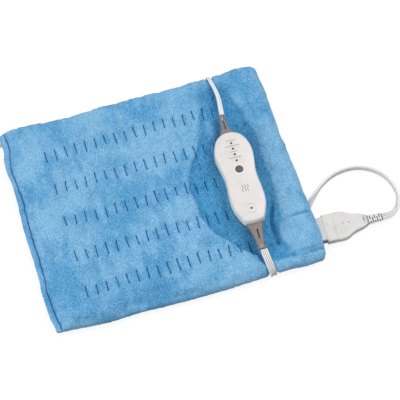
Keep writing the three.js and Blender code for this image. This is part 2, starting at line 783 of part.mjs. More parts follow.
// Controller outline: half widths up the length, with a waist between two lobes
const casing_outline_shares = [
  [-1, 0], [-0.985, 0.33], [-0.955, 0.52], [-0.86, 0.655], [-0.73, 0.79], [-0.59, 0.88], [-0.45, 0.9],
  [-0.28, 0.882], [-0.1, 0.842], [0.06, 0.845], [0.22, 0.905], [0.38, 0.975], [0.5, 1], [0.62, 0.975],
  [0.74, 0.895], [0.85, 0.755], [0.93, 0.57], [0.98, 0.33], [1, 0],
];
// How far in and how high each level of the dome lies
const dome_level_shares = [
  [0, 0], [0.008, 0.35], [0.03, 0.6], [0.075, 0.77], [0.15, 0.85], [0.35, 0.925], [0.6, 0.975], [0.9, 1],
];
const foot_level_shares = [[0.16, 0], [0.05, 0.22], [0.012, 0.6], [0, 1]];

function casing_ring(inset, z) {
  const half = casing_outline_shares.map(([v, u]) => [
    u * (casing_half_width - inset), v * (casing_half_length - inset)]);
  const left = half.slice(1, -1).reverse().map(([u, v]) => [-u, v]);
  return [...half, ...left].map(([u, v]) => [u, v + casing_middle, z]);
}

const dome_low = casing_split + clearance;
function casing_dome(shrink, low = dome_low) {
  const height = casing_height - shrink - dome_low;
  return loft(dome_level_shares.map(([inset, rise]) => casing_ring(
    shrink + inset * (casing_half_width - shrink), rise === 0 ? low : dome_low + rise * height)));
}

function casing_foot(shrink, high = casing_split) {
  return loft(foot_level_shares.map(([inset, rise]) => casing_ring(
    shrink + inset * casing_half_width, rise === 1 ? high : shrink + rise * (casing_split - shrink))));
}

// Height of the dome above a place on the controller's long axis
function dome_height(v) {
  const inset = (casing_half_length - Math.abs(v - casing_middle)) / casing_half_width;
  const upper = dome_level_shares.findIndex(([share]) => share >= inset);
  if (upper < 0) return casing_height;
  const [low_inset, low_rise] = dome_level_shares[upper - 1];
  const [high_inset, high_rise] = dome_level_shares[upper];
  const rise = blend(low_rise, high_rise, (inset - low_inset) / (high_inset - low_inset));
  return dome_low + rise * (casing_height - dome_low);
}

// Boots: how far out each section lies, and how wide and high it is
const mains_boot_shares = [[-0.32, 1, 1], [0.07, 0.904, 0.96], [0.19, 0.73, 0.885], [0.29, 0.557, 0.81],
  [0.425, 0.435, 0.73], [0.6, 0.374, 0.635], [0.8, 0.357, 0.54], [1, 0.357, 0.52]];
const pad_boot_shares = [[-0.28, 1, 1], [-0.01, 0.889, 1], [0.153, 0.738, 0.94], [0.395, 0.571, 0.827],
  [0.637, 0.468, 0.69], [0.825, 0.444, 0.56], [1, 0.444, 0.52]];
const boots = [
  { name: 'mains_boot', outward: 1, length: mains_boot_length, half_width: mains_boot_half_width,
    section_shares: mains_boot_shares, slot_shares: [0.336, 0.634], slot_width: mains_slot_width },
  { name: 'pad_boot', outward: -1, length: pad_boot_length, half_width: pad_boot_half_width,
    section_shares: pad_boot_shares, slot_shares: [0.26, 0.61], slot_width: pad_slot_width },
];
const boot_z = casing_split + clearance / 2;

function boot({ outward, length, half_width: width, section_shares, slot_shares, slot_width }) {
  const along = share => casing_middle + outward * (casing_half_length + share * length);
  const shape = loft(section_shares.map(([out, wide, high]) =>
    oblong(wide * width, high * boot_half_height, high * boot_half_height)
      .map(([u, z]) => [u, along(out), boot_z + z])));
  const envelope = join([casing_dome(-clearance, dome_low - overrun),
    casing_foot(-clearance, casing_split + overrun)]);
  const across_boot = (low_u, high_u, from, to, low_z) => block(
    [low_u, Math.min(from, to), low_z], [high_u, Math.max(from, to), boot_z + casing_height]);
  const slot_floor = boot_z + section_shares[3][2] * boot_half_height - boot_slot_depth;
  const tools = [envelope, across_boot(-slot_width / 2, slot_width / 2,
    along(slot_shares[0]), along(slot_shares[1]), slot_floor)];
  const tip_height = section_shares.at(-1)[2] * boot_half_height;
  for (const [rib, from, to] of boot_rib_shares) {
    const near = along(1) - outward * rib * boot_rib_gap;
    tools.push(across_boot(from * 2 * tip_height, to * 2 * tip_height, near,
      near - outward * boot_rib_gap, boot_z + tip_height - boot_slot_depth / 2));
  }
  const inner = casing_middle + outward * (casing_half_length - casing_wall - tongue_reach);
  const outer = casing_middle + outward * (casing_half_length + tongue_reach);
  const tongue = block([-tongue_half_width, Math.min(inner, outer), boot_z - tongue_half_height],
    [tongue_half_width, Math.max(inner, outer), boot_z + tongue_half_height]);
  return join([cut(shape, tools), tongue]);
}

boots.forEach(kind => place(kind.name, boot(kind), grey_rubber, controller));

// Openings that the boots' tongues pass through
const tongue_hole = () => block(
  [-tongue_half_width - clearance, casing_middle - casing_half_length - overrun,
    boot_z - tongue_half_height - clearance],
  [tongue_half_width + clearance, casing_middle + casing_half_length + overrun,
    boot_z + tongue_half_height + clearance],
);

function controller_upper_shell() {
  const outer = casing_dome(0);
  const hollow_shell = cut(outer, [casing_dome(casing_wall, dome_low - overrun)]);
  const bosses = screw_places.map(([u, v]) =>
    common(rod(boss_radius, dome_low, casing_height, u, v, 12), outer));
  const bores = screw_places.map(([u, v]) =>
    rod(screw_radius + clearance, 0, dome_low + screw_grip + clearance, u, v, 10));
  const lights = led_places.map(v => rod(led_radius + clearance, casing_split, 2 * casing_height, 0, v, 12));
  const openings = [
    rod(button_radius + button_gap, casing_split, 2 * casing_height, 0, button_v, 24),
    rod(button_recess_radius, casing_height - button_recess_depth, 2 * casing_height, 0, button_v, 24),
    tongue_hole(),
  ];
  return cut(join([hollow_shell, ...bosses]), [...bores, ...lights, ...openings]);
}

function controller_lower_shell() {
  const outer = casing_foot(0);
  const hollow_shell = cut(outer, [casing_foot(casing_wall, casing_split + overrun)]);
  const bosses = screw_places.map(([u, v]) =>
    common(rod(lower_boss_radius, 0, casing_split, u, v, 12), outer));
  const posts = post_place_shares.map(on_board).map(([u, v]) =>
    rod(post_radius, casing_wall / 2, casing_split, u, v, 10));
  const holes = screw_places.flatMap(([u, v]) => [
    rod(screw_radius + clearance, -overrun, casing_split + overrun, u, v, 10),
    rod(screw_head_radius + clearance, -overrun, screw_recess, u, v, 12),
  ]);
  return cut(join([hollow_shell, ...bosses, ...posts]), [...holes, tongue_hole()]);
}

place('controller_upper_shell', controller_upper_shell(), white_plastic, controller);
place('controller_lower_shell', controller_lower_shell(), grey_rubber, controller);
screw_places.forEach(([u, v], i) => {
  const bearing = screw_recess - clearance;
  const screw = join([
    rod(screw_head_radius, bearing - screw_head_height, bearing, u, v, 12),
    rod(screw_radius, bearing - screw_head_height / 2, dome_low + screw_grip, u, v, 10),
  ]);
  place(`controller_screw_${i + 1}`, screw, steel, controller);
});

// Circuit board on its four posts, and what it carries
const board_low = casing_split + clearance;
const board_high = board_low + board_thickness;
const board_seat = board_high + clearance;
const [, chip_v] = on_board([0, chip_place_share]);
const [relay_u, relay_v] = on_board(relay_place_shares);
const [capacitor_u, capacitor_v] = on_board(capacitor_place_shares);
place('circuit_board', block([-board_half_width, casing_middle - board_half_length, board_low],
  [board_half_width, casing_middle + board_half_length, board_high]), board_green, controller);
place('control_chip', block([-chip_size / 2, chip_v - chip_size / 2, board_seat],
  [chip_size / 2, chip_v + chip_size / 2, board_seat + chip_height]), black_resin, controller);
place('relay', block([relay_u - relay_width / 2, relay_v - relay_length / 2, board_seat],
  [relay_u + relay_width / 2, relay_v + relay_length / 2, board_seat + relay_height]),
black_resin, controller);
const can = new THREE.CylinderGeometry(capacitor_radius, capacitor_radius, capacitor_length, 16)
  .translate(capacitor_u, capacitor_v, board_seat + capacitor_radius);
place('capacitor', can, black_resin, controller);

const switch_top = board_seat + switch_height;
const half_switch = switch_size / 2;
const switch_floor = switch_top - plunger_sunk - button_travel - clearance;
const switch_body = cut(
  block([-half_switch, button_v - half_switch, board_seat],
    [half_switch, button_v + half_switch, switch_top]),
  [rod(switch_bore, switch_floor, switch_top + overrun, 0, button_v)],
);
place('switch_body', switch_body, black_resin, controller);
place('switch_plunger', rod(plunger_radius, switch_top - plunger_sunk, switch_top + plunger_out, 0, button_v),
  white_plastic, controller);

// The button's cap stands in the shell's round opening, and its flange keeps it from coming out
const flange_top = casing_height - casing_wall - 2 * clearance;
const button_profile = [
  [0, switch_top + plunger_out + clearance], [stem_radius, switch_top + plunger_out + clearance],
  [stem_radius, flange_top - button_flange_thickness], [button_flange, flange_top - button_flange_thickness],
  [button_flange, flange_top], [button_radius, flange_top], [button_radius, casing_height - button_crown],
  [button_radius - button_crown, casing_height], [button_radius / 2, casing_height - button_crown / 2],
  [0, casing_height - button_crown],
].map(([r, z]) => new THREE.Vector2(r, z));
const button = new THREE.LatheGeometry(button_profile, 20).rotateX(quarter_turn).translate(0, button_v, 0);
place('power_button', button, button_rubber, controller);

led_places.forEach((v, i) => {
  const top = dome_height(v);
  const profile = [[0, board_seat], [led_radius, board_seat], [led_radius, top - led_dome],
    [led_radius * Math.SQRT1_2, top - led_dome / 4], [0, top]].map(([r, z]) => new THREE.Vector2(r, z));
  const light = new THREE.LatheGeometry(profile, 8).rotateX(quarter_turn).translate(0, v, 0);
  place(`led_${i + 1}`, light, lamp, controller);
});

// Stored coil: it spirals in on the floor, climbs a layer while it turns back, and spirals out
const coil_outer_radius = coil_inner_radius + coil_pitch * coil_turns / 2;
const coil_low = coil_floor + mains_cord_width / 2;
const coil_section = [
  [cord_thickness / 2, -mains_cord_width / 4], [cord_thickness / 2, mains_cord_width / 4],
  [0, mains_cord_width / 2], [-cord_thickness / 2, mains_cord_width / 4],
  [-cord_thickness / 2, -mains_cord_width / 4], [0, -mains_cord_width / 2],
];

function coil_station(turn) {
  const radius = coil_inner_radius + coil_pitch * Math.abs(turn - coil_turns / 2);
  const climb = THREE.MathUtils.clamp((turn - coil_turns / 2) / coil_climb_turns + 1 / 2, 0, 1);
  return { angle: quarter_turn + turn * full_turn, radius, z: coil_low + coil_layer * climb };
}

function coil_ring(angle, radius, z, forward = 0) {
  return coil_section.map(([r, up]) => [
    coil_x + (radius + r) * Math.cos(angle) - forward * Math.sin(angle),
    coil_y + (radius + r) * Math.sin(angle) + forward * Math.cos(angle),
    z + up,
  ]);
}

function coil_rings() {
  const first = coil_station(0);
  const last = coil_station(coil_turns);
  const rings = [coil_ring(first.angle, first.radius, first.z, -mains_cord_width)];
  const count = Math.round(coil_turns * coil_steps);
  for (let i = 0; i <= count; i++) {
    const { angle, radius, z } = coil_station(i / count * coil_turns);
    rings.push(coil_ring(angle, radius, z));
  }
  rings.push(coil_ring(last.angle, last.radius, last.z, mains_cord_width));
  rings.push(coil_ring(last.angle, last.radius, last.z, coil_tail));
  return rings;
}

// Least air between the coil's turns, measured between points of its skin
function coil_least_gap(rings) {
  const dense = [];
  rings.forEach((ring, i) => {
    const next = rings[Math.min(i + 1, rings.length - 1)];
    for (let k = 0; k < ring.length; k++) {
      const other = ring[(k + 1) % ring.length];
      for (const share of [0, 0.5]) {
        const side = ring[k].map((value, axis) => blend(value, other[axis], share));
        dense.push({ i, p: side });
        const ahead = next[k].map((value, axis) => blend(value, next[(k + 1) % ring.length][axis], share));
        dense.push({ i: i + 0.5, p: side.map((value, axis) => (value + ahead[axis]) / 2) });
      }
    }
  });
  let least = Infinity;
  for (const a of dense) {
    for (const b of dense) {
      if (b.i - a.i < coil_steps / 2) continue;
      const [dx, dy, dz] = [0, 1, 2].map(axis => a.p[axis] - b.p[axis]);
      least = Math.min(least, Math.hypot(dx, dy, dz));
    }
  }
  return least;
}

const rings = coil_rings();
console.log(`coil: least gap to itself ${coil_least_gap(rings).toFixed(2)} mm`);
place('mains_cord_coil', loft(rings), cord_vinyl);

// Tie round the bundle, through the coil's bore
const bundle_low = coil_inner_radius - cord_thickness / 2 - clearance;
const bundle_high = coil_outer_radius + cord_thickness / 2 + clearance;
const tie_low = coil_floor - clearance;
const tie_high = coil_floor + mains_cord_width + coil_layer + clearance;
const tie_ring = (grow, x) => oblong((bundle_high - bundle_low) / 2 + grow,
  (tie_high - tie_low) / 2 + grow, tie_corner)
  .map(([y, z]) => [x, (bundle_low + bundle_high) / 2 + y, (tie_low + tie_high) / 2 + z]);
const tie = cut(
  loft([tie_ring(tie_thickness, -tie_width / 2), tie_ring(tie_thickness, tie_width / 2)]),
  [loft([tie_ring(0, -tie_width), tie_ring(0, tie_width)])],
).rotateZ(-3 * quarter_turn / 2).translate(coil_x, coil_y, 0);
place('cord_tie', tie, black_resin);

// Mains plug beside the coil, its blades standing one above the other
const plug = new THREE.Group();
plug.position.set(coil_x - coil_outer_radius, coil_y - coil_tail - clearance, coil_low + coil_layer);
plug.rotation.z = -quarter_turn;
object.add(plug);
const plug_section_shares = [
  [0, 0.35, 0.31], [0.3, 0.45, 0.33], [0.39, 0.62, 0.5], [0.44, 0.85, 0.8], [0.52, 0.98, 0.98],
  [0.95, 1, 1], [1, 0.92, 0.95],
];
const plug_length = plug_relief_length + plug_body_length;
const plug_solid = loft(plug_section_shares.map(([along, wide, high]) => across(
  wide * plug_half_thickness, high * plug_half_height, plug_half_thickness * wide / 2, along * plug_length)));
const blades = [
  ['plug_blade_narrow', blade_narrow, blade_spacing / 2],
  ['plug_blade_wide', blade_wide, -blade_spacing / 2],
];
const blade_slots = blades.map(([, width, z]) => block(
  [plug_length - blade_seat - clearance, -width / 2 - clearance, z - blade_thickness / 2 - clearance],
  [plug_length + overrun, width / 2 + clearance, z + blade_thickness / 2 + clearance],
));
place('mains_plug_body', cut(plug_solid, blade_slots), cord_vinyl, plug);
for (const [name, width, z] of blades) {
  const blade = cut(
    block([plug_length - blade_seat, -width / 2, z - blade_thickness / 2],
      [plug_length + blade_length, width / 2, z + blade_thickness / 2]),
    [rod(blade_hole, z - blade_thickness, z + blade_thickness,
      plug_length + blade_length - blade_hole_inset, 0, 12)],
  );
  place(name, blade, brass, plug);
}

export default object;
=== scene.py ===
import math

import bpy
import numpy as np
from mathutils import Matrix, Vector


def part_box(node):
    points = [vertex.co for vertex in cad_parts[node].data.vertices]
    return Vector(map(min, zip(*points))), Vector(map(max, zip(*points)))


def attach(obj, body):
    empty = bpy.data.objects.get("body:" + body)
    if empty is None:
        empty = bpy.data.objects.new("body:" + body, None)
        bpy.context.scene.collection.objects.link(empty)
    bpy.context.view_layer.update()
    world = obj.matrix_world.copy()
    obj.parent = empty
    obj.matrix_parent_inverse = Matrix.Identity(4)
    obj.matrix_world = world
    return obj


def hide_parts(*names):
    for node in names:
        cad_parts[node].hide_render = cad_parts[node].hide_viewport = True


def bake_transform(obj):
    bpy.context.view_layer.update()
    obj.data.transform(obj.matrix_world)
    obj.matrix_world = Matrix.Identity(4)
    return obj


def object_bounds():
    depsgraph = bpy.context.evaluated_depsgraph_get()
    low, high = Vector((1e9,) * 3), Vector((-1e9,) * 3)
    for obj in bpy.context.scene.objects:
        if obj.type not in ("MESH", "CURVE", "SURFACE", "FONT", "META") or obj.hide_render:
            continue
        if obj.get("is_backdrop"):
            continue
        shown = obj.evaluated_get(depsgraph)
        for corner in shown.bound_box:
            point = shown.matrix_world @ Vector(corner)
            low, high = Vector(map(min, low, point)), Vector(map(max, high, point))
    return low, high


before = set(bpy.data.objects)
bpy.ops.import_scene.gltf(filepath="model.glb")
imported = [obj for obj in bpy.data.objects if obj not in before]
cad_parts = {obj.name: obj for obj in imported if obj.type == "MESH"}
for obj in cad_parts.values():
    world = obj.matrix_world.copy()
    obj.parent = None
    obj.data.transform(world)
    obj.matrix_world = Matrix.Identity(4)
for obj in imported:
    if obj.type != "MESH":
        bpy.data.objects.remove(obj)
cad_low, cad_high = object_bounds()

# Pad cord: a flat white vinyl cord with four cores side by side. It leaves the controller's
# lower boot, is strapped over the front edge and under the pad, and comes out at the right
# edge, where it stands on edge in a loop round to the connector.
cord_thickness = 0.0034
pad_cord_width = 0.0098
pad_cord_cores = 4
core_web_share = 0.36  # thickness between two cores, as a share of the cord's
cord_step = 0.0015
upright_share = 0.4  # below this level share, a cord counts as running up or down
pad_cord_route = [
    (0.10805, -0.1278, 0.0279), (0.1083, -0.134, 0.0268), (0.1089, -0.143, 0.0256),
    (0.1098, -0.1505, 0.0226), (0.1108, -0.1562, 0.0181), (0.1119, -0.1589, 0.0122),
    (0.1129, -0.1575, 0.0064), (0.1138, -0.153, 0.0026), (0.1143, -0.1455, 0.0019),
    (0.1144, -0.133, 0.0019), (0.119, -0.119, 0.0019), (0.128, -0.108, 0.0019),
    (0.141, -0.0995, 0.0019), (0.156, -0.0932, 0.0019), (0.171, -0.087, 0.0019),
    (0.183, -0.0798, 0.0022), (0.1925, -0.072, 0.0034), (0.204, -0.0616, 0.0047),
    (0.219, -0.0496, 0.0052), (0.237, -0.0402, 0.0052), (0.256, -0.0366, 0.0052),
    (0.275, -0.0384, 0.0052), (0.292, -0.0466, 0.0052), (0.305, -0.0596, 0.0052),
    (0.3124, -0.0762, 0.0052), (0.3139, -0.0935, 0.0052), (0.309, -0.108, 0.0056),
    (0.3, -0.1174, 0.0069), (0.29, -0.121, 0.0081), (0.28075, -0.12107, 0.0085),
]
pad_cord_lay_shares = [0] * 15 + [0.1, 0.4, 0.8] + [1] * 8 + [0.8, 0.4, 0.1, 0]
pad_cord_points_across = 33


class Value:
    """One output of a material's nodes, on which Python's own sums add Math nodes."""

    def __init__(self, finish, output):
        self.finish = finish
        self.output = output

    def maths(self, operation, first, second):
        return self.finish.node("ShaderNodeMath", {"operation": operation}, {0: first, 1: second})

    def __add__(self, other):
        return self.maths("ADD", self, other)

    def __sub__(self, other):
        return self.maths("SUBTRACT", self, other)

    def __rsub__(self, other):
        return self.maths("SUBTRACT", other, self)

    def __mul__(self, other):
        return self.maths("MULTIPLY", self, other)

    __radd__ = __add__
    __rmul__ = __mul__


class Finish:
    """A material: constants on its shader, and a pattern made of nodes that feed it."""

    def __init__(self, name, constants):
        self.material = bpy.data.materials.new(name)
        self.material.use_nodes = True
        self.nodes = self.material.node_tree.nodes
        self.links = self.material.node_tree.links
        self.shader = self.nodes["Principled BSDF"]
        self.feed(self.shader, constants)
        self.place = self.node("ShaderNodeTexCoord", {}, {}, "Object")

    def feed(self, node, values):
        """Sets a node's inputs: each one to a constant, or to another node's output."""
        for key, value in values.items():
            if isinstance(value, Value):
                self.links.new(value.output, node.inputs[key])
            else:
                node.inputs[key].default_value = value

    def node(self, kind, settings, values, output=0):
        """Adds a node and gives back one of its outputs."""
        made = self.nodes.new(kind)
        for name, value in settings.items():
            setattr(made, name, value)
        self.feed(made, values)
        return Value(self, made.outputs[output])

    def noise(self, scale, detail=2, roughness=0.5, stretch=(1, 1, 1)):
        """A cloudy pattern through the piece, so many clouds to the metre, stretched or not."""
        place = self.node("ShaderNodeMapping", {}, {"Vector": self.place, "Scale": stretch})
        return self.node("ShaderNodeTexNoise", {},
                         {"Vector": place, "Scale": scale, "Detail": detail, "Roughness": roughness})

    def marked(self, attribute):
        """The share that mark_points has stored at each point."""
        return self.node("ShaderNodeAttribute", {"attribute_name": attribute}, {}, "Fac")

    def between(self, value, low, high):
        """0 below low and 1 above high, with a soft change between them."""
        return self.node("ShaderNodeMapRange", {"interpolation_type": "SMOOTHSTEP"},
                         {"Value": value, "From Min": low, "From Max": high})

    def vector(self, operation, first, second, output="Vector"):
        """A sum, product or distance of two places."""
        return self.node("ShaderNodeVectorMath", {"operation": operation}, {0: first, 1: second}, output)

    def mix(self, share, first, second):
        """The first colour at share 0 and the second one at share 1."""
        return self.node("ShaderNodeMix", {"data_type": "RGBA"}, {0: share, 6: first, 7: second}, 2)

    def bump(self, height, distance):
        """Raises a fine grain on the surface, up to a distance."""
        self.feed(self.shader, {"Normal": self.node(
            "ShaderNodeBump", {}, {"Height": height, "Distance": distance, "Strength": 1})})

    def grained(self, pattern, first, second, roughness=None):
        """Goes from one colour to another with a pattern, and roughens the shader with it."""
        self.feed(self.shader, {"Base Color": self.mix(pattern, colour(*first), colour(*second))})
        if roughness:
            least, gain = roughness
            self.feed(self.shader, {"Roughness": least + pattern * gain})


def colour(red, green, blue):
    """A colour that is given as it looks, from 0 to 255, in the shader's own linear values."""
    looks = [share / 255 for share in (red, green, blue)]
    return (*[c / 12.92 if c <= 0.04045 else ((c + 0.055) / 1.055) ** 2.4 for c in looks], 1)


def smooth_line(points, pieces, closed=False):
    """More points on a smooth curve through the given ones, so many pieces to each gap."""
    knots = np.array(points, float)
    if closed:
        ends = np.vstack([knots[-1:], knots, knots[:2]])
    else:
        ends = np.vstack([2 * knots[0] - knots[1], knots, 2 * knots[-1] - knots[-2]])
    t = np.linspace(0, 1, pieces, endpoint=False)[:, None]
    rows = [b + t * (c - a) / 2 + t**2 * (a - 2.5 * b + 2 * c - d / 2)
            + t**3 * (d - a + 3 * (b - c)) / 2
            for a, b, c, d in zip(ends, ends[1:], ends[2:], ends[3:])]
    return np.vstack(rows if closed else [*rows, knots[-1:]])


def smooth_route(route, lay_shares, step):
    """Points one step apart on a smooth curve through the route, the lay at each, and its length."""
    rows = smooth_line(np.column_stack([route, lay_shares]), 12)
    reach = np.insert(np.cumsum(np.linalg.norm(np.diff(rows[:, :3], axis=0), axis=1)), 0, 0)
    even = np.linspace(0, reach[-1], round(reach[-1] / step) + 1)
    rows = np.column_stack([np.interp(even, reach, column) for column in rows.T])
    return rows[:, :3], np.clip(rows[:, 3], 0, 1), reach[-1]


def flat_frames(points, lays):
    """The wide and the thin direction of a flat cord at each point: lay 0 is flat, 1 on edge."""
    along = np.gradient(points, axis=0)
    along /= np.linalg.norm(along, axis=1)[:, None]
    wide = np.zeros_like(points)
    side = np.zeros(3)
    for i, ahead in enumerate(along):
        level = np.cross(ahead, (0, 0, 1))
        if np.linalg.norm(level) < upright_share:
            level = side - ahead * (side @ ahead)
        level /= np.linalg.norm(level)
        side = -level if level @ side < 0 else level
        turn = lays[i] * math.pi / 2
        wide[i] = side * math.cos(turn) + np.cross(ahead, side) * math.sin(turn)
    return wide, np.cross(along, wide)


def cord_outline(width, cores, points_across):
    """Section of a flat cord: one round lobe for each core, and a shallow groove between them."""
    radius = cord_thickness / 2
    across = -width / 2 * np.cos(np.linspace(0, math.pi, points_across))
    pitch = width / cores
    off = (across + width / 2) % pitch - pitch / 2
    height = radius * np.sqrt(np.maximum(1 - (2 * off / pitch) ** 2, 0))
    inner = np.abs(across) < (width - pitch) / 2
    height[inner] = np.maximum(height[inner], core_web_share * radius)
    height[[0, -1]] = 0
    over = np.column_stack([across, height])
    under = np.column_stack([across, -height])[-2:0:-1]
    return np.vstack([over, under])


def skin(name, rings):
    """A closed piece through rings of points, with a flat face at each end."""
    count, around = rings.shape[:2]
    faces = [(r * around + i, r * around + (i + 1) % around, (r + 1) * around + (i + 1) % around,
              (r + 1) * around + i) for r in range(count - 1) for i in range(around)]
    faces += [tuple(range(around))[::-1], tuple(range((count - 1) * around, count * around))]
    mesh = bpy.data.meshes.new(name)
    mesh.from_pydata(rings.reshape(-1, 3).tolist(), [], faces)
    piece = bpy.data.objects.new(name, mesh)
    bpy.context.collection.objects.link(piece)
    face_outwards(piece)
    return piece


def pick(*pieces):
    """Selects these pieces alone, the first one active, for the operators that follow."""
    bpy.ops.object.select_all(action="DESELECT")
    for piece in pieces:
        piece.select_set(True)
    bpy.context.view_layer.objects.active = pieces[0]


def face_outwards(piece, merged_within=0):
    """Merges the points that lie that close, and turns the faces outwards."""
    pick(piece)
    bpy.ops.object.mode_set(mode="EDIT")
    bpy.ops.mesh.select_all(action="SELECT")
    if merged_within:
        bpy.ops.mesh.remove_doubles(threshold=merged_within)
    bpy.ops.mesh.normals_make_consistent(inside=False)
    bpy.ops.object.mode_set(mode="OBJECT")


def dress(piece, finish, slot, body="root", angle=40, moulded=True):
    """Smooths a finished piece up to an angle, gives it its material and seats it on a body.
    A moulded piece has flat faces whose shading its soft edges don't bend."""
    pick(piece)
    bpy.ops.object.shade_smooth_by_angle(angle=math.radians(angle))
    if moulded:
        piece.modifiers.new("even", "WEIGHTED_NORMAL").keep_sharp = True
        bpy.ops.object.modifier_apply(modifier="even")
    piece.data.materials.clear()
    piece.data.materials.append(finish.material)
    if body:
        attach(piece, body)


def mark_points(piece, attribute, shares):
    """Stores a share at each of a piece's points, for its material to read."""
    made = piece.data.attributes.new(attribute, "FLOAT", "POINT")
    made.data.foreach_set("value", np.asarray(shares, np.float32).ravel())


def flat_cord(name, points, lays, width, cores, points_across, groove_shade):
    """A flat cord along a route, with its grooves marked for painted shade in the vinyl."""
    wide, thin = flat_frames(points, lays)
    outline = cord_outline(width, cores, points_across)
    rings = (points[:, None] + outline[None, :, :1] * wide[:, None]
             + outline[None, :, 1:] * thin[:, None])
    piece = skin(name, rings)
    low = np.abs(outline[:, 0]) < (width - width / cores) / 2
    groove = np.where(low, 1 - np.abs(outline[:, 1]) / (cord_thickness / 2), 0) * groove_shade
    mark_points(piece, "painted_groove_shade", np.tile(groove, len(points)))
    return piece


vinyl = Finish("white_vinyl", {"Coat Weight": 0.06, "Coat Roughness": 0.3,
                               "Subsurface Weight": 0.06, "Subsurface Scale": 0.002})
drawn = vinyl.noise(90, detail=4)
painted_groove_shade = vinyl.marked("painted_groove_shade")
# Painted shade: the vinyl turns grey in the grooves between the cores, as far as the points are marked.
vinyl.feed(vinyl.shader, {
    "Base Color": vinyl.mix(vinyl.between(painted_groove_shade, 0.12, 0.6), vinyl.mix(
        drawn * 0.5, colour(240, 240, 241), colour(224, 224, 225)), colour(150, 154, 160)),
    "Roughness": 0.36 + drawn * 0.16,
})
vinyl.bump(vinyl.noise(900, detail=3), 0.00008)

pad_points, pad_lays, pad_cord_length = smooth_route(pad_cord_route, pad_cord_lay_shares, cord_step)
pad_cord = flat_cord("pad_cord_vinyl", pad_points, pad_lays, pad_cord_width, pad_cord_cores,
                     pad_cord_points_across, 1)
dress(pad_cord, vinyl, "cord_vinyl", body=None, angle=50, moulded=False)
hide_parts("pad_cord")
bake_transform(pad_cord)

# Mains cord: a flat white cord with two cores, from the controller's upper boot over the back
# edge and under the pad. The rest of it is wound up on edge for storage, in one round coil of
# two layers, and ends in the plug.
mains_cord_width = 0.0067
mains_cord_cores = 2
mains_cord_step = 0.0024
coil_middle = (-0.262, 0.1025)
coil_floor = 0.0012
coil_inner_radius = 0.0303
coil_pitch = 0.0044
coil_layer = 0.00735
coil_turns = 6.25
coil_points_per_turn = 24
coil_climb_turns = 0.5
coil_tail = 0.017
mains_cord_route = [
    (0.11725, 0.0852, 0.0279), (0.1185, 0.095, 0.027), (0.1202, 0.106, 0.0263),
    (0.1212, 0.117, 0.0259), (0.1209, 0.128, 0.0255), (0.1199, 0.138, 0.0243),
    (0.1193, 0.1465, 0.0216), (0.1191, 0.1528, 0.0172), (0.1191, 0.1566, 0.0118),
    (0.1192, 0.1568, 0.0066), (0.1194, 0.1535, 0.0028), (0.1196, 0.147, 0.0019),
    (0.1192, 0.136, 0.0019), (0.1145, 0.122, 0.0019), (0.103, 0.1115, 0.0019),
    (0.087, 0.106, 0.0019), (0.068, 0.1045, 0.0019), (0.048, 0.1045, 0.0019),
    (0.028, 0.105, 0.0019), (0.008, 0.1055, 0.0019), (-0.012, 0.106, 0.0019),
    (-0.032, 0.107, 0.0019), (-0.052, 0.1084, 0.0019), (-0.072, 0.1106, 0.0019),
    (-0.092, 0.1138, 0.0019), (-0.112, 0.1184, 0.0019), (-0.131, 0.1246, 0.0019),
    (-0.149, 0.132, 0.0019), (-0.167, 0.1394, 0.0019), (-0.185, 0.1444, 0.002),
    (-0.202, 0.1461, 0.0027), (-0.219, 0.1462, 0.0039), (-0.236, 0.1462, 0.0045),
]
mains_cord_lay_shares = [0, 0.1, 0.25, 0.38, 0.45, 0.45, 0.4, 0.3, 0.15, 0.05] + [0] * 20 + [0.3, 0.7, 1]
mains_cord_points_across = 17
mains_groove_shade = 0.45  # its grooves get less painted shade than the pad cord's


def coil_route():
    """The coil's points: it spirals in on the floor, climbs a layer and spirals out again."""
    points = []
    low = coil_floor + mains_cord_width / 2
    for i in range(round(coil_turns * coil_points_per_turn) + 1):
        turn = i / coil_points_per_turn
        radius = coil_inner_radius + coil_pitch * abs(turn - coil_turns / 2)
        climb = min(max((turn - coil_turns / 2) / coil_climb_turns + 0.5, 0), 1)
        angle = math.pi / 2 + turn * 2 * math.pi
        points.append((coil_middle[0] + radius * math.cos(angle),
                       coil_middle[1] + radius * math.sin(angle), low + coil_layer * climb))
    end_x, end_y, end_z = points[-1]
    for tail in (coil_tail / 2, coil_tail):
        points.append((end_x - math.sin(angle) * tail, end_y + math.cos(angle) * tail, end_z))
    return points


stored = coil_route()
mains_points, mains_lays, mains_cord_length = smooth_route(
    mains_cord_route + stored, mains_cord_lay_shares + [1] * len(stored), mains_cord_step)
mains_cord = flat_cord("mains_cord_vinyl", mains_points, mains_lays, mains_cord_width,
                       mains_cord_cores, mains_cord_points_across, mains_groove_shade)
dress(mains_cord, vinyl, "cord_vinyl", angle=50, moulded=False)
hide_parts("mains_cord_run", "mains_cord_coil")

# Felt layers: two white needled felts, laid flat inside the cover. They hold the heating wire
# between them, and the bar tacks sew them to the cover.
felt_lines = (90, 76)
felt_shrink = 0.00025
felt_edge = 0.0005
felt_swell = 0.00006
felt_swell_wave = 0.045
felt_drift = 0.00024
felt_drift_wave = 0.02


def uneven(x, y, wavelength, seed):
    """A smooth swell with no pattern, mostly between -1 and 1 and the same on each run."""
    total = 0
    draws = np.random.default_rng(seed).uniform((0, 0, 0.7), (2 * math.pi, 2 * math.pi, 1.4), (7, 3))
    for angle, phase, stretch in draws:
        across = x * math.cos(angle) + y * math.sin(angle)
        total = total + np.sin(across * 2 * math.pi / (wavelength * stretch) + phase)
    return total / 3


def modify(piece, kind, **settings):
    """Adds one modifier and applies it."""
    pick(piece)
    modifier = piece.modifiers.new(kind.lower(), kind)
    for name, value in settings.items():
        setattr(modifier, name, value)
    bpy.ops.object.modifier_apply(modifier=modifier.name)


def soften(piece, width, degrees):
    """Rounds the edges that turn by more than so many degrees."""
    modify(piece, "BEVEL", width=width, segments=2, limit_method="ANGLE",
           angle_limit=math.radians(degrees))


